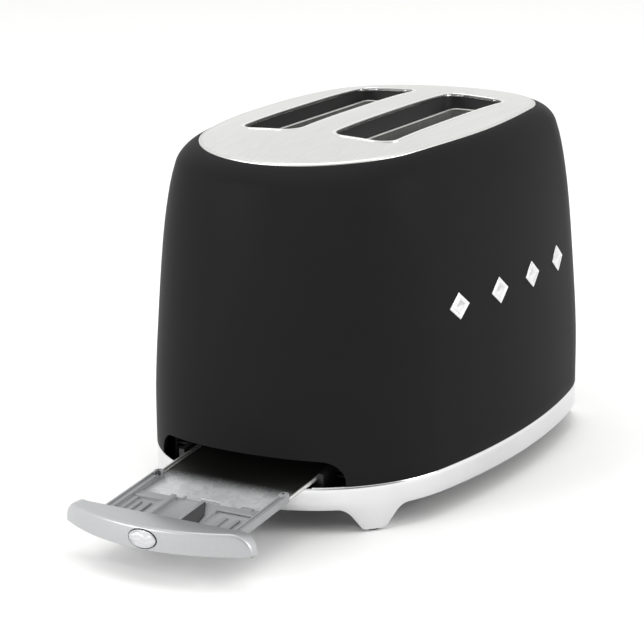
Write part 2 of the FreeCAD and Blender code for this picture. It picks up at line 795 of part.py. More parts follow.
# ---------------------------------------------------------------- controls and electrics
def make_controls():
    board_x = 128.0
    height = D["knob_height"]
    named(box(board_x, -46.0, height - 22.0, 1.6, 92.0, 44.0), "control_board")
    named(rod("X", board_x + 1.6, 0.0, height, 8.0, 8.0), "timer_dial_body")
    knob_face = 150.6
    knob_radius = D["knob_size"] / 2 - 2.0
    grip = rod("X", knob_face, 0.0, height, knob_radius, 12.0)
    stem = rod("X", board_x + 9.9, 0.0, height, 3.0, 14.0)
    join([grip, stem], "browning_knob")
    cut(rod("X", 148.4, 0.0, height, D["knob_size"] / 2 - 1.1, 3.6),
        rod("X", 148.0, 0.0, height, knob_radius + D["move_gap"], 5.0), "knob_ring")
    for name, (side, level) in BUTTON_SPOTS.items():
        cap = rod("X", 140.0, side, level, D["button_size"] / 2, 8.4)
        stem = rod("X", board_x + 3.6, side, level, 2.0, 10.0)
        join([cap, stem], name)


def make_electrics():
    floor = D["floor_top"]
    magnet_top = D["rack_top"] - 8.0 - D["travel"] - 0.4
    core = box(98.0, -28.0, floor, 12.0, 14.0, magnet_top - floor)
    coil = cut(rod("Z", 104.0, -21.0, floor + 4.0, 12.0, 20.0),
               box(98.0, -28.0, floor, 12.0, 14.0, 60.0))
    join([core, coil], "electromagnet")
    named(box(92.0, 14.0, floor + 5.0, 30.0, 42.0, 1.6), "main_board")
    relay = box(96.0, 18.0, floor + 6.6, 15.0, 12.0, 14.0)
    capacitor = rod("Z", 103.0, 43.0, floor + 6.6, 6.0, 18.0)
    spacers = [rod("Z", x, y, floor, 2.5, 5.0) for x in (95.0, 119.0) for y in (17.0, 53.0)]
    group([relay, capacitor] + spacers, "board_components")
    named(box(92.0, -56.0, floor, 24.0, 14.0, 13.0), "terminal_block")
    gland_end = D["half_length"] - D["foot_end_inset"] + 1.6
    barrel = rod("X", 140.0, 0.0, GLAND_HEIGHT, GLAND_RADIUS, gland_end - 140.0)
    flange = rod("X", gland_end - 1.5, 0.0, GLAND_HEIGHT, GLAND_RADIUS + 0.2, 1.5)
    bore = rod("X", 139.0, 0.0, GLAND_HEIGHT, 3.2, 20.0)
    cut(join([barrel, flange]), bore, "cord_gland")


def make_skin_layer():
    """Thin layer wrapped round the body, from which trim that lies on the shell is cut."""
    layer = doc.addObject("PartDesign::Body", "SkinLayer")
    body_loft(layer, -1.3, ALL_LEVELS)
    body_loft(layer, -0.05, ALL_LEVELS, subtract=True, bottom=D["band_top"] - 0.5)
    return layer


STUD_START = -62.5
STUD_PITCH = 39.4
STUD_HEIGHT = 110.0


def make_side_studs(layer):
    """Four plain lozenge studs in a row on the long front side."""
    studs = []
    for index in range(4):
        body = doc.addObject("PartDesign::Body", "StudPrism")
        x = STUD_START + STUD_PITCH * index
        sketch = new_sketch(body, "XZ_Plane", D["half_width"] - 20.0)
        draw_polygon(sketch, [(x - 9.0, STUD_HEIGHT), (x, STUD_HEIGHT - 7.5),
                              (x + 9.0, STUD_HEIGHT), (x, STUD_HEIGHT + 7.5)])
        pad(body, sketch, 30.0)
        studs.append(common(layer, body))
    group(studs, "side_studs")


def make_control_fascia(layer):
    body = doc.addObject("PartDesign::Body", "FasciaPrism")
    sketch = new_sketch(body, "YZ_Plane", 100.0)
    low = D["band_top"] + 4.0
    high = D["lever_height"] + 22.0
    middle = (low + high) / 2
    draw_round_slot(sketch, 0.0, middle, 92.0, high - low, 12.0)
    draw_lever_slot(sketch)
    draw_circle(sketch, 0.0, D["knob_height"], D["knob_size"] / 2 - 1.0)
    for side, height in BUTTON_SPOTS.values():
        draw_circle(sketch, side, height, D["button_size"] / 2 + D["move_gap"])
    pad(body, sketch, 80.0)
    common(layer, body, "control_fascia")


# ---------------------------------------------------------------- crumb tray and its guides
def tray_placement(obj):
    """Tip a tray piece onto the slope, with its own origin at the mouth's sill."""
    slope = FreeCAD.Rotation(V(0, 1, 0), -number(D["tray_slope"]))
    obj.Placement.Rotation = slope
    bind(obj, "Placement.Base.x", D["tray_seat_x"])
    bind(obj, "Placement.Base.z", D["tray_seat_height"])


PAN_FRONT = -29.0
PAN_LENGTH = 158.0
PAN_RIM = 2.2
TRAY_BACK = -68.0
CARRIER_HEIGHT = 2.8


def make_crumb_pan():
    body = new_body("crumb_pan")
    half = D["tray_half_width"]
    sheet = new_sketch(body, "XY_Plane")
    draw_rectangle(sheet, PAN_FRONT, -half, PAN_FRONT + PAN_LENGTH, half)
    pad(body, sheet, PAN_RIM)
    tray = new_sketch(body, "XY_Plane", PAN_RIM)
    thin = D["board_sheet"]
    draw_rectangle(tray, PAN_FRONT - 1.0, -half + thin, PAN_FRONT + PAN_LENGTH - number(thin),
                   half - thin)
    pocket(body, tray, thin * -1.0 + PAN_RIM)
    tray_placement(body)
    return body


def make_tray_carrier():
    """Moulding between pan and handle: floor, two arms, two pockets and a middle block."""
    body = new_body("tray_carrier")
    half = D["tray_half_width"]
    floor = new_sketch(body, "XY_Plane")
    draw_rectangle(floor, TRAY_BACK, -half, PAN_FRONT - 0.2, half)
    pad(body, floor, CARRIER_HEIGHT)
    arms = new_sketch(body, "XY_Plane", D["board_sheet"] + 0.1)
    reach = 19.0
    for side in (-1, 1):
        outer = (half - D["board_sheet"] - 0.1) * side
        inner = outer - 4.0 * side
        low, high = (outer, inner) if side < 0 else (inner, outer)
        draw_rectangle(arms, PAN_FRONT - 1.0, low, PAN_FRONT + reach, high)
    pad(body, arms, CARRIER_HEIGHT - 0.1 - D["board_sheet"])
    pockets = new_sketch(body, "XY_Plane", CARRIER_HEIGHT)
    for low, high in ((-36.0, -13.8), (19.8, 33.0)):
        draw_rectangle(pockets, TRAY_BACK + 4.0, low, PAN_FRONT - 7.0, high)
    pocket(body, pockets, CARRIER_HEIGHT + 1.0)
    tray_placement(body)
    return body


HANDLE_ROLL = 11.0
HANDLE_END_WALL = 7.0


def make_tray_handle():
    """Curved front: an upright face under a flat top with rolled ends, open below."""
    body = new_body("tray_handle")
    centre = handle_centre()
    back = D["tray_seat_x"] - 67.5
    face = new_sketch(body, "YZ_Plane", back)
    half = D["handle_half_width"]
    low = D["handle_bottom"]
    high = D["handle_top"]
    draw_rectangle(face, -half, low, half, high)
    pad(body, face, 40.0).Reversed = True
    nose = new_sketch(body, "XY_Plane", low)
    draw_rectangle(nose, -400.0, -120.0, 0.0, 120.0)
    draw_circle(nose, centre, 0.0, D["handle_radius"])
    pocket(body, nose, 20.0, reverse=True)
    round_edges(body, HANDLE_ROLL, is_top_side_edge)
    hollow = new_sketch(body, "XY_Plane", low)
    wall = D["wall"]
    inner = number(D["handle_radius"] - wall)
    inner_half = number(half) - HANDLE_END_WALL
    c = number(centre)
    reach = c - math.sqrt(inner * inner - inner_half * inner_half)
    behind = number(back) + 1.0
    side = [V(reach, inner_half, 0), V(behind, inner_half, 0), V(behind, -inner_half, 0),
            V(reach, -inner_half, 0)]
    for start, stop in zip(side, side[1:]):
        hollow.addGeometry(Part.LineSegment(start, stop), False)
    hollow.addGeometry(Part.Arc(side[3], V(c - inner, 0, 0), side[0]), False)
    pocket(body, hollow, high - low - wall, reverse=True)


def handle_centre():
    """Where the handle's front radius is struck from, along the toaster."""
    face = -(D["half_length"] - D["foot_end_inset"]) - D["tray_out"]
    return face + D["handle_radius"]


def is_top_side_edge(edge):
    box_of = edge.BoundBox
    on_top = abs(box_of.ZMin - number(D["handle_top"])) < 0.01 and box_of.ZLength < 0.01
    return on_top and box_of.YLength < 0.01


BADGE_SIDE = -2.5


def make_handle_badge():
    """Plain domed oval on the middle of the handle."""
    body = new_body("handle_badge")
    sketch = new_sketch(body, "XY_Plane", 18.2)
    draw_circle(sketch, handle_centre(), 0.0, D["handle_radius"] + 0.9)
    draw_circle(sketch, handle_centre(), 0.0, D["handle_radius"] + 0.05)
    pad(body, sketch, 9.6)
    trim = new_sketch(body, "YZ_Plane", -250.0)
    draw_rectangle(trim, -150.0, 0.0, 150.0, 60.0)
    ellipse = Part.Ellipse(V(BADGE_SIDE, 23.0, 0), 7.9, 4.8)
    trim.addGeometry(ellipse, False)
    pocket(body, trim, 260.0, reverse=True)
    far_side = new_sketch(body, "XY_Plane", 0.0)
    draw_rectangle(far_side, -200.0, -60.0, 0.0, 60.0)
    pocket(body, far_side, 60.0, reverse=True)


def make_tray_rails():
    """Sloping guides either side of the tray: a ledge below the rim and an upright beside it."""
    seat_x = number(D["tray_seat_x"])
    seat_z = number(D["tray_seat_height"])
    rise = math.tan(math.radians(number(D["tray_slope"])))
    low_x = -134.0
    high_x = 66.0
    foot = D["floor_top"]

    def slope_height(x, above):
        return seat_z + (x - seat_x) * rise + above

    for name, side in (("front", -1), ("rear", 1)):
        body = new_body("tray_rail_" + name)
        for near, far, above in ((37.0, 44.5, -0.4), (number(D["tray_half_width"]) + 0.5, 44.5, 4.0)):
            sketch = new_sketch(body, "XZ_Plane", -far if side > 0 else near)
            draw_polygon(sketch, [(low_x, foot), (high_x, foot),
                                  (high_x, slope_height(high_x, above)),
                                  (low_x, slope_height(low_x, above))])
            pad(body, sketch, far - near)


# ---------------------------------------------------------------- build, check and write
def build_all():
    make_outer_shell()
    make_base_band()
    make_foot_pads()
    make_base_plate()
    make_base_screws()
    make_top_plate()
    make_slot_linings()
    make_chassis()
    make_heaters()
    make_guide_cages()
    make_carriage()
    make_controls()
    make_electrics()
    layer = make_skin_layer()
    make_side_studs(layer)
    make_control_fascia(layer)
    make_crumb_pan()
    make_tray_carrier()
    make_tray_handle()
    make_handle_badge()
    make_tray_rails()
    doc.recompute()


def check_model():
    for obj in doc.Objects:
        if "Invalid" in obj.State or "Error" in obj.State:
            raise RuntimeError(obj.Label + " failed: " + obj.getStatusString())
    for part in SUBPARTS:
        if part.Shape.isNull() or not part.Shape.isValid():
            raise RuntimeError(part.Label + " has no valid shape")


def write_parts():
    os.makedirs("parts", exist_ok=True)
    for part in SUBPARTS:
        part.Shape.exportStep("parts/" + part.Label + ".step")


build_all()
check_model()
write_parts()
print(len(SUBPARTS), "sub-parts written")
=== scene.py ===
import math
import bpy
import bmesh
from mathutils import Matrix, Vector


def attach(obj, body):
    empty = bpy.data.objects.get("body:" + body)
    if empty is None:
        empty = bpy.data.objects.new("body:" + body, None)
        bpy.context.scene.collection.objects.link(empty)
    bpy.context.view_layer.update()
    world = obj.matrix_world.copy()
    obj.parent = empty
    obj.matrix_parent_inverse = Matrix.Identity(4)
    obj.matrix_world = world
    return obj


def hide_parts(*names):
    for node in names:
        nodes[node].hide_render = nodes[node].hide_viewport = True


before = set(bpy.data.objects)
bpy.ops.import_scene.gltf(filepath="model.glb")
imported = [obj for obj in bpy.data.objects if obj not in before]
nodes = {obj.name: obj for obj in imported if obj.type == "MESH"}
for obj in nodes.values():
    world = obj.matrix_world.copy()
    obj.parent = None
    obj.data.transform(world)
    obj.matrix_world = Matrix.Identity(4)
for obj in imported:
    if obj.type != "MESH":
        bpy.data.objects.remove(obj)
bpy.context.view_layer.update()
scene = bpy.context.scene


# ------------------------------------------------------------------ studio
# A pale matt floor in a white room, with a large soft lamp over each shoulder of the camera.
# The room is a little dimmer to one side, as where a studio's softboxes leave a gap.
def linear(colour):
    """A hex colour as the four linear values that a shader takes."""
    values = [int(colour[place:place + 2], 16) / 255 for place in (1, 3, 5)]
    return [v / 12.92 if v <= 0.04045 else ((v + 0.055) / 1.055) ** 2.4 for v in values] + [1.0]


def add_node(tree, kind, inputs=None, **settings):
    """Adds a node, sets its options, and fills or links its sockets."""
    made = tree.nodes.new(kind)
    for option, value in settings.items():
        setattr(made, option, value)
    for socket, value in (inputs or {}).items():
        if isinstance(value, bpy.types.NodeSocket):
            tree.links.new(value, made.inputs[socket])
        else:
            made.inputs[socket].default_value = value
    return made


def new_finish(name, colour, metallic, roughness):
    """A material with its plain values set, and the coordinates its pattern reads."""
    material = bpy.data.materials.new(name)
    material.use_nodes = True
    tree = material.node_tree
    shader = tree.nodes["Principled BSDF"]
    shader.inputs["Base Color"].default_value = linear(colour)
    shader.inputs["Metallic"].default_value = metallic
    shader.inputs["Roughness"].default_value = roughness
    place = add_node(tree, "ShaderNodeTexCoord").outputs["Object"]
    return material, tree, shader, place


CAMERA_PLACE = (-1.16346, -0.64786, 0.44478)
CAMERA_HEADING = 0.530
CAMERA_DIP = -0.271
CAMERA_LEAN = -0.009
camera_data = bpy.data.cameras.new("studio_camera")
camera_data.lens = 136.44
camera_data.clip_end = 100.0
camera = bpy.data.objects.new("studio_camera", camera_data)
camera.location = CAMERA_PLACE
camera.rotation_euler = (Matrix.Rotation(CAMERA_HEADING - math.pi / 2, 3, "Z")
                         @ Matrix.Rotation(math.pi / 2 + CAMERA_DIP, 3, "X")
                         @ Matrix.Rotation(CAMERA_LEAN, 3, "Z")).to_euler()
scene.collection.objects.link(camera)
scene.camera = camera
scene.view_settings.view_transform = "Standard"

room = bpy.data.worlds.new("white_room")
room.use_nodes = True
scene.world = room
room_tree = room.node_tree
room_side = add_node(room_tree, "ShaderNodeTexCoord").outputs["Generated"]
toward_gap = add_node(room_tree, "ShaderNodeVectorMath", {0: room_side, 1: (-0.36, -0.93, 0.0)},
                      operation="DOT_PRODUCT")
gap_shade = add_node(room_tree, "ShaderNodeMapRange",
                     {"Value": toward_gap.outputs["Value"], "From Min": 0.6, "From Max": 0.97,
                      "To Min": 1.0, "To Max": 0.3}, interpolation_type="SMOOTHSTEP")
room_light = room_tree.nodes["Background"]
room_light.inputs["Color"].default_value = linear("#ffffff")
room_tree.links.new(gap_shade.outputs["Result"], room_light.inputs["Strength"])

floor_paint, tree, shader, place = new_finish("pale_matt_floor_paint", "#f4f4f3", 0.0, 0.9)
grit = add_node(tree, "ShaderNodeTexNoise", {"Vector": place, "Scale": 60.0, "Detail": 5.0})
shade = add_node(tree, "ShaderNodeMix", {0: grit.outputs["Fac"], 6: linear("#f3f3f2"),
                                         7: linear("#f6f6f5")}, data_type="RGBA")
tree.links.new(shade.outputs[2], shader.inputs["Base Color"])
shape = bmesh.new()
bmesh.ops.create_grid(shape, x_segments=2, y_segments=2, size=25.0)
floor_mesh = bpy.data.meshes.new("floor")
shape.to_mesh(floor_mesh)
shape.free()
floor_mesh.materials.append(floor_paint)
floor = bpy.data.objects.new("floor", floor_mesh)
scene.collection.objects.link(floor)

for name, spot, aim, size, power in (("left_lamp", (-1.5, 0.9, 0.6), (0.0, 0.0, 0.1), 0.8, 14.0),
                                     ("right_lamp", (0.4, -1.7, 0.6), (0.0, 0.0, 0.1), 0.8, 14.0),
                                     ("top_lamp", (0.1, 0.1, 1.7), (0.0, 0.0, 0.0), 1.2, 8.0)):
    lamp = bpy.data.lights.new(name, "AREA")
    lamp.size = size
    lamp.energy = power
    holder = bpy.data.objects.new(name, lamp)
    holder.location = spot
    holder.rotation_euler = (Vector(aim) - Vector(spot)).to_track_quat("-Z", "Y").to_euler()
    scene.collection.objects.link(holder)


# ------------------------------------------------------------------ outer shell
# The body is one pressing of thin steel, drawn in towards the top and rounded over at the
# shoulder. It is coated in satin black enamel and stands on the chrome band.
SHELL_SHEET = 2.4
HALF_LENGTH = 154.5
HALF_WIDTH = 97.5
SIDE_RADIUS = 418.7
BAND_TOP = 25.8
WALL_KNOTS = [(25.8, 3.1), (60.0, 3.35), (100.0, 5.9), (140.0, 9.4), (165.0, 13.1), (180.0, 17.0)]
SHOULDER_LEAN = 0.34
PLATE_LENGTH = 122.8
PLATE_WIDTH = 70.3
PLATE_RADIUS = 369.7
PLATE_CROWN = 196.7


def oval(half_length, half_width, side_radius, steps):
    """Points round an oval of four tangent arcs, with as many steps on each arc."""
    end_radius = (side_radius ** 2 - half_length ** 2 - (side_radius - half_width) ** 2) / (
        2 * (side_radius - half_length))
    turn = math.atan2(side_radius - half_width, half_length - end_radius)
    arcs = [(half_length - end_radius, 0.0, end_radius, -turn, 2 * turn),
            (0.0, half_width - side_radius, side_radius, turn, math.pi - 2 * turn),
            (end_radius - half_length, 0.0, end_radius, math.pi - turn, 2 * turn),
            (0.0, side_radius - half_width, side_radius, math.pi + turn, math.pi - 2 * turn)]
    points = []
    for centre_x, centre_y, radius, start, sweep in arcs:
        for step in range(steps):
            angle = start + sweep * step / steps
            points.append((centre_x + radius * math.cos(angle), centre_y + radius * math.sin(angle)))
    return points


def body_oval(inset, steps):
    return oval(HALF_LENGTH - inset, HALF_WIDTH - inset, SIDE_RADIUS, steps)


def plate_oval(inset, steps):
    return oval(PLATE_LENGTH - inset, PLATE_WIDTH - inset, PLATE_RADIUS, steps)


def crown(x, y):
    """Height of the domed top over a point: almost flat along the slots, falling at the ends."""
    return PLATE_CROWN - 7.4 * (abs(x) / PLATE_LENGTH) ** 3 - 4.2 * (y / PLATE_WIDTH) ** 2


def wall_inset(height):
    """How far the wall is drawn in at a height, as one smooth curve through its knots."""
    index = max(i for i, knot in enumerate(WALL_KNOTS[:-1]) if height >= knot[0])
    (z0, i0), (z1, i1) = WALL_KNOTS[index], WALL_KNOTS[index + 1]
    before = WALL_KNOTS[max(index - 1, 0)]
    after = WALL_KNOTS[min(index + 2, len(WALL_KNOTS) - 1)]
    slope0 = (i1 - before[1]) / (z1 - before[0])
    slope1 = SHOULDER_LEAN if after[0] == z1 else (after[1] - i0) / (after[0] - z0)
    t = (height - z0) / (z1 - z0)
    span = z1 - z0
    return ((2 * t ** 3 - 3 * t ** 2 + 1) * i0 + (t ** 3 - 2 * t ** 2 + t) * span * slope0
            + (3 * t ** 2 - 2 * t ** 3) * i1 + (t ** 3 - t ** 2) * span * slope1)


def loft(shape, rings, closed=False):
    """Skins a run of closed rings that have as many points each."""
    ring = bmesh.ops.create_circle(shape, segments=len(rings[0]), radius=1.0)["verts"]
    edges = [edge for edge in shape.edges if all(end in set(ring) for end in edge.verts)]
    first_edges = edges
    for vertex, point in zip(ring, rings[0]):
        vertex.co = point
    for points in rings[1:]:
        grown = bmesh.ops.extrude_edge_only(shape, edges=edges)["geom"]
        fresh = {item for item in grown if isinstance(item, bmesh.types.BMVert)}
        ring = [next(edge.other_vert(vertex) for edge in vertex.link_edges
                     if edge.other_vert(vertex) in fresh) for vertex in ring]
        edges = [item for item in grown if isinstance(item, bmesh.types.BMEdge)
                 and item.verts[0] in fresh and item.verts[1] in fresh]
        for vertex, point in zip(ring, points):
            vertex.co = point
    if closed:
        bmesh.ops.bridge_loops(shape, edges=first_edges + edges)


def cap(shape):
    """Closes every open ring with a face."""
    bmesh.ops.holes_fill(shape, edges=[edge for edge in shape.edges if edge.is_boundary], sides=0)


def make_piece(name, shape, finish, slot, body, *replaced, crease=40.0):
    """Turns a shape drawn in millimetres into a piece that rides on its CAD body."""
    bmesh.ops.scale(shape, vec=(0.001, 0.001, 0.001), verts=shape.verts)
    bmesh.ops.recalc_face_normals(shape, faces=shape.faces)
    mesh = bpy.data.meshes.new(name)
    shape.to_mesh(mesh)
    shape.free()
    mesh.materials.append(finish)
    mesh.shade_smooth()
    mesh.set_sharp_from_angle(angle=math.radians(crease))
    piece = bpy.data.objects.new(name, mesh)
    scene.collection.objects.link(piece)
    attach(piece, body)
    if replaced:
        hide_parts(*replaced)
    return piece


def carve(piece, shape, crease=40.0):
    """Cuts a shape drawn in millimetres out of a piece, with any modifiers it has, for good."""
    bmesh.ops.scale(shape, vec=(0.001, 0.001, 0.001), verts=shape.verts)
    bmesh.ops.recalc_face_normals(shape, faces=shape.faces)
    cutter_mesh = bpy.data.meshes.new("cutter")
    shape.to_mesh(cutter_mesh)
    shape.free()
    cutter = bpy.data.objects.new("cutter", cutter_mesh)
    scene.collection.objects.link(cutter)
    cutting = piece.modifiers.new("cut", "BOOLEAN")
    cutting.object = cutter
    cutting.solver = "EXACT"
    bpy.context.view_layer.update()
    drawn = piece.evaluated_get(bpy.context.evaluated_depsgraph_get())
    mesh = bpy.data.meshes.new_from_object(drawn)
    piece.modifiers.clear()
    piece.data = mesh
    mesh.name = piece.name
    mesh.shade_smooth()
    mesh.set_sharp_from_angle(angle=math.radians(crease))
    bpy.data.objects.remove(cutter)
    bpy.data.meshes.remove(cutter_mesh)


def round_outline(half_u, half_v, radius, steps=8):
    """Points round a rectangle with rounded corners, about its own centre."""
    points = []
    for index, (side_u, side_v) in enumerate(((1, 1), (-1, 1), (-1, -1), (1, -1))):
        for step in range(steps + 1):
            angle = math.radians(90.0 * (index + step / steps))
            points.append((side_u * (half_u - radius) + radius * math.cos(angle),
                           side_v * (half_v - radius) + radius * math.sin(angle)))
    return points


# Satin enamel: deep black, with the faint ripple of a sprayed and baked coat.
enamel, tree, shader, place = new_finish("satin_black_baked_enamel", "#1f1f20", 0.0, 0.42)
shader.inputs["Specular IOR Level"].default_value = 0.015
cloud = add_node(tree, "ShaderNodeTexNoise", {"Vector": place, "Scale": 14.0, "Detail": 3.0})
tint = add_node(tree, "ShaderNodeMix", {0: cloud.outputs["Fac"], 6: linear("#1e1e1f"),
                                        7: linear("#212122")}, data_type="RGBA")
tree.links.new(tint.outputs[2], shader.inputs["Base Color"])
# sprayed enamel ripples at about 1.5 mm
ripple = add_node(tree, "ShaderNodeTexNoise", {"Vector": place, "Scale": 650.0, "Detail": 2.0})
peel = add_node(tree, "ShaderNodeBump", {"Height": ripple.outputs["Fac"], "Strength": 0.05,
                                         "Distance": 0.0002})
tree.links.new(peel.outputs["Normal"], shader.inputs["Normal"])
sheen = add_node(tree, "ShaderNodeMapRange", {"Value": cloud.outputs["Fac"], "To Min": 0.38,
                                              "To Max": 0.46})
tree.links.new(sheen.outputs["Result"], shader.inputs["Roughness"])

SHELL_STEPS = 56
rings = [[(x, y, BAND_TOP + 0.15) for x, y in body_oval(3.7, SHELL_STEPS)],
         [(x, y, BAND_TOP + 0.2) for x, y in body_oval(3.3, SHELL_STEPS)],
         [(x, y, BAND_TOP + 0.5) for x, y in body_oval(3.12, SHELL_STEPS)]]
for step in range(1, 25):
    height = BAND_TOP + 0.5 + (180.0 - BAND_TOP - 0.5) * step / 24
    rings.append([(x, y, height) for x, y in body_oval(wall_inset(height), SHELL_STEPS)])
wall_top = rings[-1]
plate_edge = [(x, y, crown(x, y) - 0.7) for x, y in plate_oval(-0.25, SHELL_STEPS)]
SHOULDER_STEPS = 14
DOME_FALL = 0.17
for step in range(1, SHOULDER_STEPS + 1):
    t = step / SHOULDER_STEPS
    ring = []
    for (x0, y0, z0), (x3, y3, z3) in zip(wall_top, plate_edge):
        inward = Vector((x3 - x0, y3 - y0))
        reach = inward.length
        inward.normalize()
        rise = (z3 - z0 - DOME_FALL * reach) / (1 - DOME_FALL * SHOULDER_LEAN)
        run = reach - SHOULDER_LEAN * rise
        start = Vector((x0, y0, z0))
        stop = Vector((x3, y3, z3))
        up = Vector((inward.x * SHOULDER_LEAN, inward.y * SHOULDER_LEAN, 1.0)) * rise * 0.56
        over = Vector((inward.x, inward.y, DOME_FALL)) * run * 0.56
        ring.append(start * (1 - t) ** 3 + (start + up) * 3 * t * (1 - t) ** 2
                    + (stop - over) * 3 * t ** 2 * (1 - t) + stop * t ** 3)
    rings.append(ring)
rings.append([(x, y, crown(x, y) - 1.9) for x, y in plate_oval(0.4, SHELL_STEPS)])
rings.append([(x, y, crown(x, y) - 2.0) for x, y in plate_oval(5.0, SHELL_STEPS)])
shape = bmesh.new()
loft(shape, rings)
shell = make_piece("outer_shell_skin", shape, enamel, "shell_enamel", "housing", "outer_shell")
sheet = shell.modifiers.new("sheet", "SOLIDIFY")
sheet.thickness = SHELL_SHEET * 0.001
sheet.offset = -1.0
sheet.use_even_offset = True

# the mouth for the crumb tray, cut through the lower end wall
MOUTH_HALF = 56.4
MOUTH_TOP = 39.9
MOUTH_CROWN = 42.1
MOUTH_CORNER = 12.0


def mouth_outline(grow):
    """The arched mouth: upright sides, rounded corners and a slightly crowned lintel."""
    half = MOUTH_HALF + grow
    points = [(-half, 20.0), (half, 20.0)]
    for step in range(9):
        angle = math.radians(90.0 * step / 8)
        points.append((half - MOUTH_CORNER + MOUTH_CORNER * math.cos(angle),
                       MOUTH_TOP + grow - MOUTH_CORNER + MOUTH_CORNER * math.sin(angle)))
    for step in range(1, 12):
        side = (1 - step / 6) * (half - MOUTH_CORNER)
        lift = (MOUTH_CROWN - MOUTH_TOP) * (1 - (side / (half - MOUTH_CORNER)) ** 2)
        points.append((side, MOUTH_TOP + grow + lift))
    for step in range(9):
        angle = math.radians(90.0 + 90.0 * step / 8)
        points.append((MOUTH_CORNER - half + MOUTH_CORNER * math.cos(angle),
                       MOUTH_TOP + grow - MOUTH_CORNER + MOUTH_CORNER * math.sin(angle)))
    return points


shape = bmesh.new()
loft(shape, [[(x, y, z) for y, z in mouth_outline(0.0)] for x in (-175.0, -110.0)])
cap(shape)
carve(shell, shape)

# the lever's slot, the dial's hole and the four button holes, through the other end
LEVER_Z = 114.0
DIAL_Z = 50.0
BUTTONS = {"defrost_button": (-33.0, 60.0), "bagel_button": (-33.0, 40.0),
           "reheat_button": (33.0, 60.0), "cancel_button": (33.0, 40.0)}
shape = bmesh.new()
loft(shape, [[(x, u, LEVER_Z + v) for u, v in round_outline(4.0, 46.0, 2.0)] for x in (120.0, 170.0)])
for side, height, radius in [(0.0, DIAL_Z, 15.0)] + [(y, z, 5.85) for y, z in BUTTONS.values()]:
    hole = [(side + radius * math.cos(a), height + radius * math.sin(a))
            for a in (math.radians(7.5 * step) for step in range(48))]
    loft(shape, [[(x, u, v) for u, v in hole] for x in (120.0, 170.0)])
cap(shape)
carve(shell, shape)


# ------------------------------------------------------------------ top plate
# A domed steel pressing with a satin brushed face, let into the shoulder. Its outer edge is
# rolled over behind a fine groove, and both bread slots have a lip turned down into them.
brushed, tree, shader, place = new_finish("brushed_stainless_sheet", "#d8d8d6", 1.0, 0.34)
# the brush leaves hairlines along the toaster, drawn 0.3 mm wide so that they show
along = add_node(tree, "ShaderNodeMapping", {"Vector": place, "Scale": (6.0, 900.0, 900.0)})
hairline = add_node(tree, "ShaderNodeTexNoise", {"Vector": along.outputs["Vector"], "Scale": 1.0,
                                                 "Detail": 4.0, "Roughness": 0.6})
tint = add_node(tree, "ShaderNodeMix", {0: hairline.outputs["Fac"], 6: linear("#cacac8"),
                                        7: linear("#e4e4e2")}, data_type="RGBA")
tree.links.new(tint.outputs[2], shader.inputs["Base Color"])
matt = add_node(tree, "ShaderNodeMapRange", {"Value": hairline.outputs["Fac"], "To Min": 0.28,
                                             "To Max": 0.42})
tree.links.new(matt.outputs["Result"], shader.inputs["Roughness"])
scratch = add_node(tree, "ShaderNodeBump", {"Height": hairline.outputs["Fac"], "Strength": 0.12,
                                            "Distance": 0.0001})
tree.links.new(scratch.outputs["Normal"], shader.inputs["Normal"])
shader.inputs["Anisotropic"].default_value = 0.4

PLATE_STEPS = 60
SLOT_SHIFT = 3.6
SLOT_SIDE = 28.5
SLOT_HALF_LENGTH = 69.4
SLOT_HALF_WIDTH = 17.7
SLOT_CORNER = 8.5
# the edge's own profile: distance in from the rim and height on the dome
EDGE_PROFILE = [(1.6, -1.5), (0.3, -1.5), (0.0, -1.1), (0.0, -0.5), (0.15, -0.15), (0.5, 0.0),
                (0.9, -0.05), (1.1, -0.4), (1.35, -0.45), (1.6, -0.1), (2.0, 0.0)]
rings = [[(x, y, crown(x, y) + rise) for x, y in plate_oval(inset, PLATE_STEPS)]
         for inset, rise in EDGE_PROFILE]
face_edge = plate_oval(2.0, PLATE_STEPS)
for step in range(1, 30):
    size = 1 - step / 30
    rings.append([(x * size, y * size, crown(x * size, y * size)) for x, y in face_edge])
shape = bmesh.new()
loft(shape, rings)
inner = [edge for edge in shape.edges if edge.is_boundary
         and edge.verts[0].co.xy.length < 10.0]
hub = bmesh.ops.extrude_edge_only(shape, edges=inner)["geom"]
bmesh.ops.pointmerge(shape, verts=[item for item in hub if isinstance(item, bmesh.types.BMVert)],
                     merge_co=(0.0, 0.0, crown(0.0, 0.0)))
plate = make_piece("domed_top_plate", shape, brushed, "brushed_steel", "housing", "top_plate")
sheet = plate.modifiers.new("sheet", "SOLIDIFY")
sheet.thickness = 0.001
sheet.offset = -1.0
shape = bmesh.new()
for side in (-1, 1):
    outline = [(SLOT_SHIFT + u, SLOT_SIDE * side + v)
               for u, v in round_outline(SLOT_HALF_LENGTH, SLOT_HALF_WIDTH, SLOT_CORNER)]
    loft(shape, [[(x, y, z) for x, y in outline] for z in (150.0, 230.0)])
cap(shape)
carve(plate, shape)

rim_steel, tree, shader, place = new_finish("polished_rolled_steel_lip", "#e9e9e8", 1.0, 0.16)
wear = add_node(tree, "ShaderNodeTexNoise", {"Vector": place, "Scale": 220.0, "Detail": 3.0})
matt = add_node(tree, "ShaderNodeMapRange", {"Value": wear.outputs["Fac"], "To Min": 0.12,
                                             "To Max": 0.22})
tree.links.new(matt.outputs["Result"], shader.inputs["Roughness"])


def trim_run(shape, outline, profile, height):
    """Runs a closed profile of (distance outward, rise) round a closed outline in plan."""
    count = len(outline)
    rings = []
    for index, (x, y) in enumerate(outline):
        back = outline[index - 1]
        ahead = outline[(index + 1) % count]
        out = Vector((ahead[1] - back[1], back[0] - ahead[0])).normalized()
        rings.append([(x + out.x * away, y + out.y * away, height(x, y) + rise)
                      for away, rise in profile])
    loft(shape, rings, closed=True)


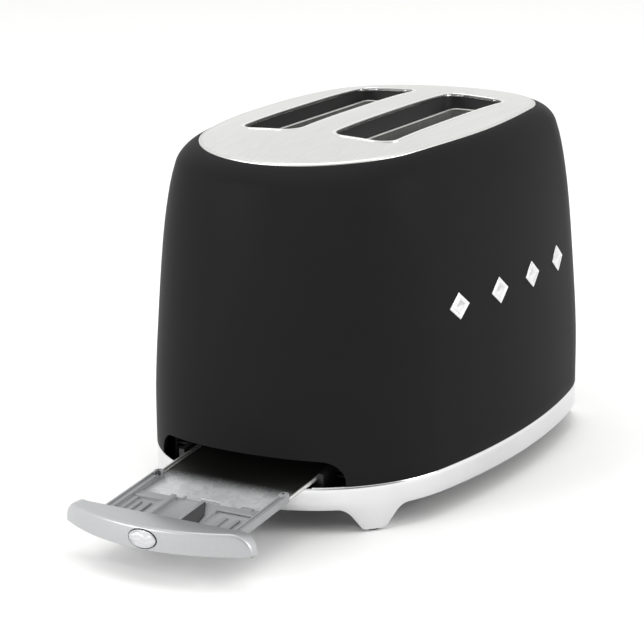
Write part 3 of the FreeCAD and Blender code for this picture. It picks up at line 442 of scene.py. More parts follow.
def slot_outline(side, inset, corner):
    """A bread slot's outline, drawn in by the inset, with its straight runs divided."""
    corners = [(SLOT_SHIFT + u, SLOT_SIDE * side + v) for u, v in
               round_outline(SLOT_HALF_LENGTH - inset, SLOT_HALF_WIDTH - inset, corner, 6)]
    outline = []
    for index, point in enumerate(corners):
        ahead = corners[(index + 1) % len(corners)]
        length = math.dist(point, ahead)
        parts = max(1, round(length / 6.0))
        if length > 1e-6:
            outline += [(point[0] + (ahead[0] - point[0]) * part / parts,
                         point[1] + (ahead[1] - point[1]) * part / parts) for part in range(parts)]
    return outline


LIP_PROFILE = [(2.3, 0.0), (1.7, 0.2), (1.1, 0.3), (0.55, 0.2), (0.15, -0.2), (0.0, -0.7),
               (0.0, -1.6), (0.5, -1.6), (0.6, -1.0), (1.0, -0.5), (2.3, -0.6)]
for name, side in (("front", -1), ("rear", 1)):
    shape = bmesh.new()
    trim_run(shape, slot_outline(side, 0.0, SLOT_CORNER), LIP_PROFILE, crown)
    make_piece("slot_lip_" + name, shape, rim_steel, "brushed_steel", "housing", crease=50.0)


# ------------------------------------------------------------------ slot collars and liners
# Under each lip hangs a matt black collar that steps in to a narrow ledge. Inside the ledge
# stands the liner, a bent strip of bright steel with a beaded upper edge.
black_resin, tree, shader, place = new_finish("black_moulded_heat_resin", "#101010", 0.0, 0.6)
grain = add_node(tree, "ShaderNodeTexNoise", {"Vector": place, "Scale": 900.0, "Detail": 3.0})
grain_bump = add_node(tree, "ShaderNodeBump", {"Height": grain.outputs["Fac"], "Strength": 0.25,
                                               "Distance": 0.0001})
tree.links.new(grain_bump.outputs["Normal"], shader.inputs["Normal"])
tint = add_node(tree, "ShaderNodeMix", {0: grain.outputs["Fac"], 6: linear("#0c0c0c"),
                                        7: linear("#161616")}, data_type="RGBA")
tree.links.new(tint.outputs[2], shader.inputs["Base Color"])

sheet_steel, tree, shader, place = new_finish("bright_rolled_sheet_steel", "#c4c4c2", 0.75, 0.42)
# rolling leaves faint lines up the sheet, about 1 mm apart
rolled = add_node(tree, "ShaderNodeMapping", {"Vector": place, "Scale": (300.0, 300.0, 12.0)})
line = add_node(tree, "ShaderNodeTexNoise", {"Vector": rolled.outputs["Vector"], "Scale": 1.0,
                                             "Detail": 3.0})
tint = add_node(tree, "ShaderNodeMix", {0: line.outputs["Fac"], 6: linear("#b4b4b1"),
                                        7: linear("#d4d4d2")}, data_type="RGBA")
tree.links.new(tint.outputs[2], shader.inputs["Base Color"])
matt = add_node(tree, "ShaderNodeMapRange", {"Value": line.outputs["Fac"], "To Min": 0.36,
                                             "To Max": 0.5})
tree.links.new(matt.outputs["Result"], shader.inputs["Roughness"])

COLLAR_PROFILE = [(0.7, 0.0), (0.2, 0.2), (-0.2, 0.0), (-0.2, -7.4), (-0.5, -7.9), (-3.3, -8.0),
                  (-3.3, -9.2), (0.3, -9.2), (0.7, -8.8)]
LINER_PROFILE = [(0.75, -0.6), (0.45, -0.1), (0.0, 0.0), (-0.45, -0.1), (-0.75, -0.6), (-0.45, -1.1),
                 (-0.3, -1.4), (-0.3, -26.0), (0.3, -26.0), (0.3, -1.4), (0.6, -1.1)]
for name, side in (("front", -1), ("rear", 1)):
    shape = bmesh.new()
    trim_run(shape, slot_outline(side, -0.4, SLOT_CORNER), COLLAR_PROFILE,
             lambda x, y: crown(x, y) - 1.7)
    make_piece("slot_collar_" + name + "_moulding", shape, black_resin, "dark_polymer", "housing",
               "slot_collar_" + name)
    shape = bmesh.new()
    trim_run(shape, slot_outline(side, 3.8, 4.0), LINER_PROFILE, lambda x, y: 187.4)
    make_piece("slot_liner_" + name + "_strip", shape, sheet_steel, "thin_steel", "housing",
               "slot_liner_" + name)


# ------------------------------------------------------------------ chrome band and feet
# The plinth is a die cast ring, polished and chromed, whose lower edge sweeps down into four
# short feet. Its top edge is a bright rounded bead that the enamelled shell sits on.
chrome, tree, shader, place = new_finish("polished_chrome_plate", "#dededf", 1.0, 0.09)
smear = add_node(tree, "ShaderNodeTexNoise", {"Vector": place, "Scale": 35.0, "Detail": 4.0})
matt = add_node(tree, "ShaderNodeMapRange", {"Value": smear.outputs["Fac"], "To Min": 0.06,
                                             "To Max": 0.13})
tree.links.new(matt.outputs["Result"], shader.inputs["Roughness"])
tint = add_node(tree, "ShaderNodeMix", {0: smear.outputs["Fac"], 6: linear("#d6d6d8"),
                                        7: linear("#e4e4e5")}, data_type="RGBA")
tree.links.new(tint.outputs[2], shader.inputs["Base Color"])

BAND_STEPS = 170
BAND_BOTTOM = 13.05
LEG_BOTTOM = 1.2
LEG_SPOT = (120.2, 67.4)
LEG_FLAT = 6.2
LEG_SHIN = (13.0, 9.8)
LEG_HIP = 20.0


def band_hem(x, y, lift):
    """Height of the band's lower edge, which sweeps down to the nearest foot."""
    away = math.hypot(abs(x) - LEG_SPOT[0], abs(y) - LEG_SPOT[1])
    if away >= LEG_HIP:
        return BAND_BOTTOM + lift
    if away <= LEG_FLAT:
        return LEG_BOTTOM + lift
    if away <= LEG_SHIN[0]:
        part = (away - LEG_FLAT) / (LEG_SHIN[0] - LEG_FLAT)
        return LEG_BOTTOM + lift + (LEG_SHIN[1] - LEG_BOTTOM) * part
    part = (away - LEG_SHIN[0]) / (LEG_HIP - LEG_SHIN[0])
    return LEG_SHIN[1] + lift + (BAND_BOTTOM - LEG_SHIN[1]) * (2 * part - part ** 2)


def leg_depth(x, y):
    """How thick the ring is at its lower edge: 3 mm, and up to 12 mm through a foot."""
    away = math.hypot(abs(x) - LEG_SPOT[0], abs(y) - LEG_SPOT[1])
    return 3.0 + 9.0 * max(0.0, min(1.0, (LEG_HIP - away) / 8.0))


outer = body_oval(3.1, BAND_STEPS)
rings = [[(x, y, BAND_TOP) for x, y in body_oval(4.3, BAND_STEPS)],
         [(x, y, BAND_TOP - 0.08) for x, y in body_oval(3.75, BAND_STEPS)],
         [(x, y, BAND_TOP - 0.3) for x, y in body_oval(3.35, BAND_STEPS)],
         [(x, y, BAND_TOP - 0.8) for x, y in body_oval(3.12, BAND_STEPS)],
         [(x, y, BAND_TOP - 3.0) for x, y in outer],
         [(x, y, BAND_BOTTOM + 3.5) for x, y in outer],
         [(x, y, band_hem(x, y, 0.7)) for x, y in outer],
         [(x, y, band_hem(x, y, 0.2)) for x, y in body_oval(3.3, BAND_STEPS)],
         [(x, y, band_hem(x, y, 0.0)) for x, y in body_oval(3.8, BAND_STEPS)]]
inner_ring = []
for (x, y), (deep_x, deep_y) in zip(outer, body_oval(15.1, BAND_STEPS)):
    share = leg_depth(x, y) / 12.0
    inner_ring.append((x + (deep_x - x) * share, y + (deep_y - y) * share, band_hem(x, y, 0.0)))
rings.append(inner_ring)
rings.append([(x, y, BAND_BOTTOM + 1.0) for x, y, z in inner_ring])
rings.append([(x, y, BAND_BOTTOM + 1.2) for x, y in body_oval(6.0, BAND_STEPS)])
rings.append([(x, y, BAND_TOP - 0.2) for x, y in body_oval(6.0, BAND_STEPS)])
shape = bmesh.new()
loft(shape, rings, closed=True)
band = make_piece("plinth_band", shape, chrome, "chrome_trim", "housing", "base_band")
shape = bmesh.new()
loft(shape, [[(x, y, z) for y, z in ((-41.6, 25.25), (41.6, 25.25), (41.6, 30.0), (-41.6, 30.0))]
             for x in (-170.0, -130.0)])
cap(shape)
carve(band, shape)
shape = bmesh.new()
hole = [(4.7 * math.cos(a), 21.0 + 4.7 * math.sin(a)) for a in (math.radians(10 * s) for s in range(36))]
loft(shape, [[(x, u, v) for u, v in hole] for x in (140.0, 160.0)])
cap(shape)
carve(band, shape)


# ------------------------------------------------------------------ side studs
# Four plain lozenges in a row on the long front side: zinc castings, polished and chromed,
# with bevelled edges and a raised middle, pinned through the shell.
STUD_START = -62.5
STUD_PITCH = 39.4
STUD_Z = 110.0
shape = bmesh.new()
for index in range(4):
    x = STUD_START + STUD_PITCH * index
    face_y = -math.sqrt(SIDE_RADIUS ** 2 - x ** 2) + SIDE_RADIUS - HALF_WIDTH + wall_inset(STUD_Z)
    heading = math.asin(x / SIDE_RADIUS)
    lean = math.atan((wall_inset(STUD_Z + 5.0) - wall_inset(STUD_Z - 5.0)) / 10.0)
    turn = Matrix.Translation((x, face_y, STUD_Z)) @ Matrix.Rotation(heading, 4, "Z") @ (
        Matrix.Rotation(-lean, 4, "X"))
    diamond = [(1.0, 0.0), (0.0, 1.0), (-1.0, 0.0), (0.0, -1.0)]
    steps = [(8.9, 7.4, -0.4), (8.9, 7.4, 0.5), (8.2, 6.8, 0.95), (6.2, 5.1, 1.0), (5.4, 4.4, 0.7),
             (1.2, 1.0, 1.25)]
    loft(shape, [[turn @ Vector((u * wide, -out, v * high)) for u, v in diamond]
                 for wide, high, out in steps])
cap(shape)
studs = make_piece("lozenge_studs", shape, chrome, "chrome_trim", "housing", "side_studs", crease=12.0)
edge = studs.modifiers.new("edge", "BEVEL")
edge.width = 0.00018
edge.segments = 2
edge.limit_method = "ANGLE"
edge.angle_limit = math.radians(15)


# ------------------------------------------------------------------ tray handle
# The tray's front is a curved moulding in silver plastic: an upright face as wide as the
# mouth, a flat top, and ends that roll over and wrap back round the carrier.
silver, tree, shader, place = new_finish("silver_lacquered_abs", "#aeafb0", 0.55, 0.36)
# metal flake in the lacquer, drawn at 0.4 mm so that it shows
flake = add_node(tree, "ShaderNodeTexVoronoi", {"Vector": place, "Scale": 2400.0})
tint = add_node(tree, "ShaderNodeMix", {0: flake.outputs["Distance"], 6: linear("#b6b7b8"),
                                        7: linear("#a6a7a9")}, data_type="RGBA")
tree.links.new(tint.outputs[2], shader.inputs["Base Color"])
flow = add_node(tree, "ShaderNodeTexNoise", {"Vector": place, "Scale": 30.0, "Detail": 2.0})
matt = add_node(tree, "ShaderNodeMapRange", {"Value": flow.outputs["Fac"], "To Min": 0.32,
                                             "To Max": 0.42})
tree.links.new(matt.outputs["Result"], shader.inputs["Roughness"])

HANDLE_HALF = 55.4
HANDLE_LOW = 17.1
HANDLE_TOP = 29.2
HANDLE_RADIUS = 100.0
HANDLE_CENTRE = -138.35
HANDLE_BACK = -219.5
HANDLE_WRAP = 3.5
HANDLE_WALL = 2.4
HANDLE_END_WALL = 7.0
HANDLE_ROLL = 11.0
CORNER_ROUND = 2.4


def handle_front(side, inset):
    """Where the handle's front face stands at a distance across, set back by the inset."""
    reach = HANDLE_HALF - CORNER_ROUND
    turn_side = reach * HANDLE_RADIUS / (HANDLE_RADIUS - CORNER_ROUND)
    if abs(side) <= turn_side:
        return HANDLE_CENTRE - math.sqrt((HANDLE_RADIUS - inset) ** 2 - side ** 2)
    corner_x = HANDLE_CENTRE - math.sqrt((HANDLE_RADIUS - CORNER_ROUND) ** 2 - reach ** 2)
    radius = CORNER_ROUND - inset
    return corner_x - math.sqrt(max(0.0, radius ** 2 - (abs(side) - reach) ** 2))


def handle_top(side):
    """Height of the handle's top, which rolls down at both ends."""
    past = max(0.0, abs(side) - (HANDLE_HALF - HANDLE_ROLL))
    return HANDLE_TOP - HANDLE_ROLL + math.sqrt(max(0.0, HANDLE_ROLL ** 2 - past ** 2))


def handle_section(side, hollow):
    """The handle's section across one station: face, rounded top edge, top and underside."""
    front = handle_front(side, 0.0)
    top = handle_top(side)
    inner_top = top - HANDLE_WALL if hollow else HANDLE_LOW
    inner_front = min(front + HANDLE_WALL, HANDLE_BACK - 2.0)
    back = HANDLE_BACK + HANDLE_WRAP * max(0.0, min(1.0, (abs(side) - 44.0) / 7.0))
    section = [(front + 0.5, HANDLE_LOW), (front + 0.1, HANDLE_LOW + 0.3), (front, HANDLE_LOW + 1.0),
               (front, top - 1.6)]
    for step in range(1, 6):
        angle = math.radians(90.0 * step / 5)
        section.append((front + 1.6 * (1 - math.cos(angle)), top - 1.6 * (1 - math.sin(angle))))
    section += [(back - 0.8, top - 0.1), (back - 0.2, top - 0.3),
                (back, top - 0.9), (back, min(top - 1.5, inner_top + 0.3)),
                (back, inner_top), (inner_front + 1.0, inner_top),
                (inner_front, inner_top - (0.8 if hollow else 0.0)), (inner_front, HANDLE_LOW)]
    return [(x, side, z) for x, z in section]


half_stations = [HANDLE_HALF - HANDLE_ROLL + HANDLE_ROLL * math.sin(math.radians(90.0 * s / 14))
                 for s in range(15)]
inner_end = HANDLE_HALF - HANDLE_END_WALL
stations = [(3.0 * step, True) for step in range(15)]
stations += [(side, True) for side in half_stations if 42.5 < side < inner_end - 0.05]
stations += [(inner_end - 0.02, True), (inner_end, False)]
stations += [(side, False) for side in half_stations if side > inner_end + 0.05]
stations[-1] = (HANDLE_HALF - 0.02, False)
stations = [(-side, hollow) for side, hollow in reversed(stations[1:])] + stations
shape = bmesh.new()
loft(shape, [handle_section(side, hollow) for side, hollow in stations])
cap(shape)
bmesh.ops.remove_doubles(shape, verts=shape.verts, dist=0.01)
make_piece("tray_front_moulding", shape, silver, "silver_polymer", "tray", "tray_handle", crease=35.0)

# Badge: a chromed oval button with a plain raised rim and a frosted wave pattern, generic.
badge_chrome, tree, shader, place = new_finish("frosted_chrome_button", "#c9c9cb", 1.0, 0.22)
centred = add_node(tree, "ShaderNodeMapping", {"Vector": place, "Location": (0.0, 0.0025, -0.023)})
wave = add_node(tree, "ShaderNodeTexWave", {"Vector": centred.outputs["Vector"], "Scale": 130.0,
                                            "Distortion": 6.0, "Detail": 1.0, "Detail Scale": 1.5},
                bands_direction="Z")
frost = add_node(tree, "ShaderNodeMapRange", {"Value": wave.outputs["Fac"], "To Min": 0.12,
                                              "To Max": 0.45})
tree.links.new(frost.outputs["Result"], shader.inputs["Roughness"])
relief = add_node(tree, "ShaderNodeBump", {"Height": wave.outputs["Fac"], "Strength": 0.5,
                                           "Distance": 0.0002})
tree.links.new(relief.outputs["Normal"], shader.inputs["Normal"])
BADGE_SIDE = -2.5
BADGE_Z = 23.0
shape = bmesh.new()
rings = []
for wide, high, out in ((7.8, 4.7, 0.06), (7.8, 4.7, 0.5), (7.5, 4.45, 0.8), (7.0, 4.0, 0.82),
                        (6.7, 3.75, 0.55), (5.0, 2.8, 0.7), (2.6, 1.4, 0.82), (0.4, 0.2, 0.86)):
    ring = []
    for step in range(48):
        angle = math.tau * step / 48
        side = BADGE_SIDE + wide * math.cos(angle)
        ring.append((handle_front(side, 0.0) - out, side, BADGE_Z + high * math.sin(angle)))
    rings.append(ring)
loft(shape, rings)
cap(shape)
make_piece("oval_badge", shape, badge_chrome, "chrome_trim", "tray", "handle_badge", crease=45.0)
# a thin black ring round the badge's edge: painted shade, standing in for the dark line of shade round
# the badge
shape = bmesh.new()
rings = []
for grow, out in ((0.05, 0.05), (0.05, 0.4), (0.4, 0.35), (0.55, 0.05)):
    ring = []
    for step in range(48):
        angle = math.tau * step / 48
        side = BADGE_SIDE + (7.8 + grow) * math.cos(angle)
        ring.append((handle_front(side, 0.0) - out, side,
                     BADGE_Z + (4.7 + grow) * math.sin(angle)))
    rings.append(ring)
loft(shape, rings, closed=True)
make_piece("badge_shade_ring", shape, black_resin, "silver_polymer", "tray")


# ------------------------------------------------------------------ tray carrier
# Between front and pan sits a grey moulding: two arms that end in round bosses, a ribbed
# pocket each side, and a middle block with a sunk panel. It slopes with the tray's guides.
TRAY_SLOPE = 6.0
TRAY_SEAT = (-152.0, 0.0, 25.5)


def block(shape, low, high, round_off=0.3):
    """Adds a block between two corners, with its edges rounded off."""
    made = bmesh.ops.create_cube(shape, size=1.0)["verts"]
    size = [top - bottom for bottom, top in zip(low, high)]
    bmesh.ops.scale(shape, vec=size, verts=made)
    middle = [(top + bottom) / 2 for bottom, top in zip(low, high)]
    bmesh.ops.translate(shape, vec=middle, verts=made)
    edges = list({edge for vertex in made for edge in vertex.link_edges})
    bmesh.ops.bevel(shape, geom=edges, offset=round_off, offset_type="OFFSET", segments=2,
                    profile=0.5, affect="EDGES", material=-1, clamp_overlap=True)


def post(shape, centre, radius, low, high, steps=28):
    """Adds an upright round post with a softened top edge."""
    sizes = [(radius, low), (radius, high - 0.5), (radius - 0.15, high - 0.15), (radius - 0.5, high),
             (radius * 0.3, high)]
    loft(shape, [[(centre[0] + r * math.cos(math.tau * s / steps),
                   centre[1] + r * math.sin(math.tau * s / steps), z) for s in range(steps)]
                 for r, z in sizes])
    cap(shape)


def tip_onto_slope(shape):
    """Moves a shape from the tray's own level frame onto the sloping guides."""
    slope = Matrix.Translation(TRAY_SEAT) @ Matrix.Rotation(math.radians(-TRAY_SLOPE), 4, "Y")
    bmesh.ops.transform(shape, matrix=slope, verts=shape.verts)


grey_resin, tree, shader, place = new_finish("grey_moulded_glass_filled_nylon", "#8d8e90", 0.0, 0.5)
# the mould's spark texture, drawn at 0.5 mm so that it shows
spark = add_node(tree, "ShaderNodeTexNoise", {"Vector": place, "Scale": 1900.0, "Detail": 3.0})
swirl = add_node(tree, "ShaderNodeTexNoise", {"Vector": place, "Scale": 60.0, "Detail": 4.0})
tint = add_node(tree, "ShaderNodeMix", {0: swirl.outputs["Fac"], 6: linear("#868789"),
                                        7: linear("#979899")}, data_type="RGBA")
tree.links.new(tint.outputs[2], shader.inputs["Base Color"])
texture = add_node(tree, "ShaderNodeBump", {"Height": spark.outputs["Fac"], "Strength": 0.3,
                                            "Distance": 0.0001})
tree.links.new(texture.outputs["Normal"], shader.inputs["Normal"])

CARRIER_BACK = -30.2
CARRIER_FRONT = -67.5
shape = bmesh.new()
block(shape, (CARRIER_FRONT, -40.6, 0.05), (CARRIER_BACK, 40.6, 2.0), 0.25)
carrier = make_piece("tray_carrier_moulding", shape, grey_resin, "grey_polymer", "tray", "tray_carrier")
shape = bmesh.new()
for low, high in (((-70.0, -35.6, 0.7), (-36.4, -14.2, 9.0)), ((-70.0, 19.9, 0.7), (-37.4, 33.0, 9.0)),
                  ((-56.0, -1.4, 1.3), (-32.0, 13.2, 9.0)), ((-52.0, 2.4, 0.5), (-45.5, 10.4, 9.0))):
    block(shape, low, high, 0.8)
post(shape, (-33.8, 10.6), 0.7, 0.4, 9.0)
carve(carrier, shape)
carrier_drawn = bmesh.new()
carrier_drawn.from_mesh(carrier.data)
bmesh.ops.scale(carrier_drawn, vec=(1000.0, 1000.0, 1000.0), verts=carrier_drawn.verts)
shape = carrier_drawn
for side in (-1, 1):
    low_y, high_y = sorted((36.4 * side, 41.0 * side))
    block(shape, (CARRIER_FRONT, low_y, 0.0), (-10.5, high_y, 3.1), 0.35)
    ridge = sorted((39.9 * side, 41.0 * side))
    block(shape, (CARRIER_FRONT, ridge[0], 2.6), (-9.5, ridge[1], 4.1), 0.35)
    ridge = sorted((36.4 * side, 37.3 * side))
    block(shape, (CARRIER_FRONT, ridge[0], 2.6), (-13.5, ridge[1], 3.8), 0.3)
    post(shape, (-10.6, 38.2 * side), 2.8, 0.1, 4.5)
for low_y in (-30.6, -23.2, 22.8, 28.4):
    block(shape, (CARRIER_FRONT, low_y, 0.6), (-40.5, low_y + 2.3, 1.9), 0.5)
block(shape, (CARRIER_FRONT, 13.4, 1.0), (-31.0, 16.4, 3.9), 0.4)
block(shape, (CARRIER_FRONT, -4.2, 1.0), (-31.5, -1.9, 3.4), 0.4)
block(shape, (-37.2, 17.2, 1.0), (-35.6, 35.6, 2.7), 0.35)
block(shape, (-36.4, -36.4, 1.0), (-34.8, -13.4, 2.7), 0.35)
for low_y in (3.6, 5.8, 8.0):
    block(shape, (-51.0, low_y, 0.5), (-46.5, low_y + 0.7, 1.2), 0.15)
for low_y, high_y, reach in ((-35.6, -31.0, -27.4), (-30.0, -22.6, -26.0), (-21.6, -17.0, -28.6)):
    block(shape, (CARRIER_BACK - 1.5, low_y, 0.6), (reach, high_y, 1.5), 0.5)
block(shape, (-32.0, 8.6, 1.8), (-29.0, 10.2, 3.0), 0.3)
tip_onto_slope(shape)
bmesh.ops.scale(shape, vec=(0.001, 0.001, 0.001), verts=shape.verts)
shape.to_mesh(carrier.data)
shape.free()
carrier.data.shade_smooth()
carrier.data.set_sharp_from_angle(angle=math.radians(35.0))

# a dark pad beside the middle block and a dark plug in the far boss: painted shade, dark pieces standing
# in for the shade inside a wedge-shaped hollow and inside the boss
dark_rubber, tree, shader, place = new_finish("dark_moulded_rubber", "#2e2e2f", 0.0, 0.7)
bloom = add_node(tree, "ShaderNodeTexNoise", {"Vector": place, "Scale": 400.0, "Detail": 5.0})
tint = add_node(tree, "ShaderNodeMix", {0: bloom.outputs["Fac"], 6: linear("#262627"),
                                        7: linear("#38383a")}, data_type="RGBA")
tree.links.new(tint.outputs[2], shader.inputs["Base Color"])
matt = add_node(tree, "ShaderNodeMapRange", {"Value": bloom.outputs["Fac"], "To Min": 0.6,
                                             "To Max": 0.85})
tree.links.new(matt.outputs["Result"], shader.inputs["Roughness"])
shape = bmesh.new()
wedge = [(-31.5, -4.2), (-55.0, -4.2), (-55.0, -13.8), (-44.0, -11.5)]
loft(shape, [[(x, y, 1.6) for x, y in wedge], [(x, y, 3.0) for x, y in wedge],
             [(x - 0.4, y * 0.96 - 0.3, 3.3) for x, y in wedge]])
cap(shape)
post(shape, (-12.4, 37.6), 1.7, 3.0, 4.75)
tip_onto_slope(shape)
make_piece("tray_painted_shade_pads", shape, dark_rubber, "grey_polymer", "tray", crease=30.0)


# ------------------------------------------------------------------ crumb pan
# The pan is folded from thin galvanised sheet, with a low hemmed wall along each side and
# across its back. It is tabbed into the carrier and slides in under the toasting chassis.
galvanised, tree, shader, place = new_finish("galvanised_steel_sheet", "#c0c2c3", 0.4, 0.5)
# zinc spangle, 3 to 6 mm across, under a fine speckle
spangle = add_node(tree, "ShaderNodeTexVoronoi", {"Vector": place, "Scale": 260.0})
speck = add_node(tree, "ShaderNodeTexNoise", {"Vector": place, "Scale": 1300.0, "Detail": 4.0})
both = add_node(tree, "ShaderNodeMix", {0: 0.6, 6: spangle.outputs["Color"],
                                        7: speck.outputs["Fac"]}, data_type="RGBA")
grey = add_node(tree, "ShaderNodeRGBToBW", {"Color": both.outputs[2]})
tint = add_node(tree, "ShaderNodeMix", {0: grey.outputs["Val"], 6: linear("#a2a4a6"),
                                        7: linear("#dcdedf")}, data_type="RGBA")
# painted shade: the pan is darkened almost black from a little behind its front edge, where it runs in
# under the body
depth = add_node(tree, "ShaderNodeSeparateXYZ", {"Vector": place})
drift = add_node(tree, "ShaderNodeMath", {0: speck.outputs["Fac"], 1: 0.012, 2: -0.006},
                 operation="MULTIPLY_ADD")
reach = add_node(tree, "ShaderNodeMath", {0: depth.outputs["X"], 1: drift.outputs["Value"]})
painted_shade_reach = add_node(tree, "ShaderNodeMapRange", {"Value": reach.outputs["Value"], "From Min": -0.166,
                                              "From Max": -0.150}, interpolation_type="SMOOTHSTEP")
pan_with_painted_shade = add_node(tree, "ShaderNodeMix", {0: painted_shade_reach.outputs["Result"], 6: tint.outputs[2],
                                           7: linear("#1d1c1b")}, data_type="RGBA")
tree.links.new(pan_with_painted_shade.outputs[2], shader.inputs["Base Color"])
matt = add_node(tree, "ShaderNodeMapRange", {"Value": speck.outputs["Fac"], "To Min": 0.34,
                                             "To Max": 0.55})
tree.links.new(matt.outputs["Result"], shader.inputs["Roughness"])
dimple = add_node(tree, "ShaderNodeBump", {"Height": speck.outputs["Fac"], "Strength": 0.15,
                                           "Distance": 0.0002})
tree.links.new(dimple.outputs["Normal"], shader.inputs["Normal"])
PAN_BACK = 129.0
shape = bmesh.new()
block(shape, (-31.5, -40.3, 0.02), (PAN_BACK - 0.2, 40.3, 0.6), 0.12)
tip_onto_slope(shape)
pan = make_piece("crumb_pan_sheet", shape, galvanised, "galvanised_steel", "tray", "crumb_pan")
shape = bmesh.new()
block(shape, (-27.2, -9.4, -3.0), (-25.4, 2.3, 5.0), 0.5)
tip_onto_slope(shape)
carve(pan, shape)
shape = bmesh.new()
for side in (-1, 1):
    low_y, high_y = sorted((39.7 * side, 40.8 * side))
    block(shape, (-12.0, low_y, 0.1), (PAN_BACK, high_y, 2.2), 0.4)
    low_y, high_y = sorted((38.9 * side, 40.0 * side))
    block(shape, (-12.0, low_y, 0.4), (PAN_BACK - 1.0, high_y, 1.0), 0.2)
block(shape, (PAN_BACK - 1.0, -40.8, 0.1), (PAN_BACK, 40.8, 2.2), 0.4)
block(shape, (-24.9, -10.6, 0.5), (-24.1, 3.4, 1.1), 0.2)
tip_onto_slope(shape)
make_piece("crumb_pan_hems", shape, sheet_steel, "galvanised_steel", "tray")


# ------------------------------------------------------------------ guides inside the mouth
# Black moulded guides carry the pan: a sloping ledge and fence each side, and ribs behind the
# mouth that steady the front when it is shut.
for name in ("tray_rail_front", "tray_rail_rear"):
    nodes[name].data.materials.clear()
    nodes[name].data.materials.append(black_resin)
shape = bmesh.new()
for side in (-1, 1):
    low_y, high_y = sorted((45.2 * side, 56.0 * side))
    for height in (26.4, 29.2, 32.0):
        block(shape, (-121.0, low_y, height), (-92.0, high_y, height + 1.1), 0.25)
    low_y, high_y = sorted((54.6 * side, 56.0 * side))
    block(shape, (-121.0, low_y, 16.4), (-92.0, high_y, 38.0), 0.4)
make_piece("mouth_guide_ribs", shape, black_resin, "dark_polymer", "housing")
shape = bmesh.new()
bracket = [(-118.0, 17.0), (-96.0, 17.0), (-118.0, 39.0)]
loft(shape, [[(x, y, z) for x, z in bracket] for y in (48.2, 51.2)])
cap(shape)
bmesh.ops.bevel(shape, geom=shape.edges[:], offset=0.4, offset_type="OFFSET", segments=2, profile=0.5,
                affect="EDGES", material=-1)
make_piece("mouth_bracket", shape, grey_resin, "grey_polymer", "housing")


# ------------------------------------------------------------------ controls
# The control end carries a thin enamelled facing with the lever's slot, a turned and knurled
# dial in a chrome bezel, four domed push buttons, and a turned grip on the lever's arm.
def turned(shape, profile, centre, steps=56):
    """Spins a profile of (distance along X, radius) about a line along X through the centre."""
    spots = [shape.verts.new((centre[0] + along, centre[1], centre[2] + radius))
             for along, radius in profile]
    edges = [shape.edges.new(pair) for pair in zip(spots, spots[1:])]
    bmesh.ops.spin(shape, geom=spots + edges, cent=centre, axis=(1.0, 0.0, 0.0), dvec=(0.0, 0.0, 0.0),
                   angle=math.tau, steps=steps, use_merge=True)
    bmesh.ops.remove_doubles(shape, verts=shape.verts, dist=0.001)


def refinish(names, finish):
    """Gives CAD nodes whose shape is right their finish."""
    for name in names:
        nodes[name].data.materials.clear()
        nodes[name].data.materials.append(finish)


refinish(["control_fascia"], enamel)
DIAL_FACE = 150.6
DIAL_RADIUS = 14.0
DIAL_DEPTH = 12.0
KNURLS = 40
shape = bmesh.new()
turned(shape, [(-12.7, 0.0), (-12.7, 3.0), (0.0, 3.0), (0.0, DIAL_RADIUS - 0.8), (0.5, DIAL_RADIUS),
               (8.5, DIAL_RADIUS - 0.3), (9.2, DIAL_RADIUS - 0.9), (10.6, DIAL_RADIUS - 1.3),
               (11.7, DIAL_RADIUS - 2.4), (DIAL_DEPTH, DIAL_RADIUS - 3.4),
               (DIAL_DEPTH - 0.5, DIAL_RADIUS - 4.4), (DIAL_DEPTH - 0.6, 0.0)],
       (DIAL_FACE, 0.0, DIAL_Z), steps=KNURLS * 4)
for vertex in shape.verts:
    if DIAL_FACE + 0.4 < vertex.co.x < DIAL_FACE + 8.7:
        angle = math.atan2(vertex.co.z - DIAL_Z, vertex.co.y)
        groove = 1.0 - 0.022 * (1 + math.cos(KNURLS * angle)) / 2
        vertex.co.y *= groove
        vertex.co.z = DIAL_Z + (vertex.co.z - DIAL_Z) * groove
block(shape, (DIAL_FACE + DIAL_DEPTH - 1.0, -0.6, DIAL_Z + 3.0),
      (DIAL_FACE + DIAL_DEPTH - 0.1, 0.6, DIAL_Z + 9.4), 0.2)
make_piece("browning_dial_grip", shape, chrome, "chrome_trim", "browning_dial", "browning_knob",
           crease=30.0)
shape = bmesh.new()
turned(shape, [(0.0, 14.45), (3.2, 14.45), (3.5, 14.6), (3.6, 14.85), (1.6, 15.9), (1.3, 14.9),
               (0.0, 14.9), (0.0, 14.45)], (148.4, 0.0, DIAL_Z), steps=72)
make_piece("dial_bezel", shape, chrome, "chrome_trim", "housing", "knob_ring", crease=30.0)
for name, (side, height) in BUTTONS.items():
    shape = bmesh.new()
    turned(shape, [(-8.4, 0.0), (-8.4, 2.0), (0.0, 2.0), (0.0, 5.45), (7.2, 5.45), (7.8, 5.3),
                   (8.2, 4.8), (8.35, 4.2), (8.05, 3.0), (7.9, 1.5), (7.85, 0.0)],
           (140.0, side, height), steps=40)
    make_piece(name + "_cap", shape, chrome, "chrome_trim", name + "_cap", name, crease=30.0)
LEVER_GRIP_Z = 148.0
shape = bmesh.new()
turned(shape, [(0.0, 0.0), (0.0, 5.9), (3.0, 5.9), (3.8, 6.1), (6.0, 7.8), (8.0, 9.7), (10.0, 10.6),
               (13.5, 10.85), (15.0, 10.7), (17.2, 9.7), (18.9, 7.9), (19.5, 5.6), (19.8, 2.8),
               (19.9, 0.0)], (152.5, 0.0, LEVER_GRIP_Z), steps=64)
for height, depth in ((-7.0, 0.35), (-3.5, 0.35), (0.0, 0.35), (3.5, 0.35), (7.0, 0.35)):
    block(shape, (152.5 + 19.1 - abs(height) * 0.14, -3.2, LEVER_GRIP_Z + height - 0.4),
          (152.5 + 19.95 - abs(height) * 0.16, 3.2, LEVER_GRIP_Z + height + 0.4), 0.2)
make_piece("lever_grip", shape, chrome, "chrome_trim", "carriage", "lever_knob", crease=30.0)
shape = bmesh.new()
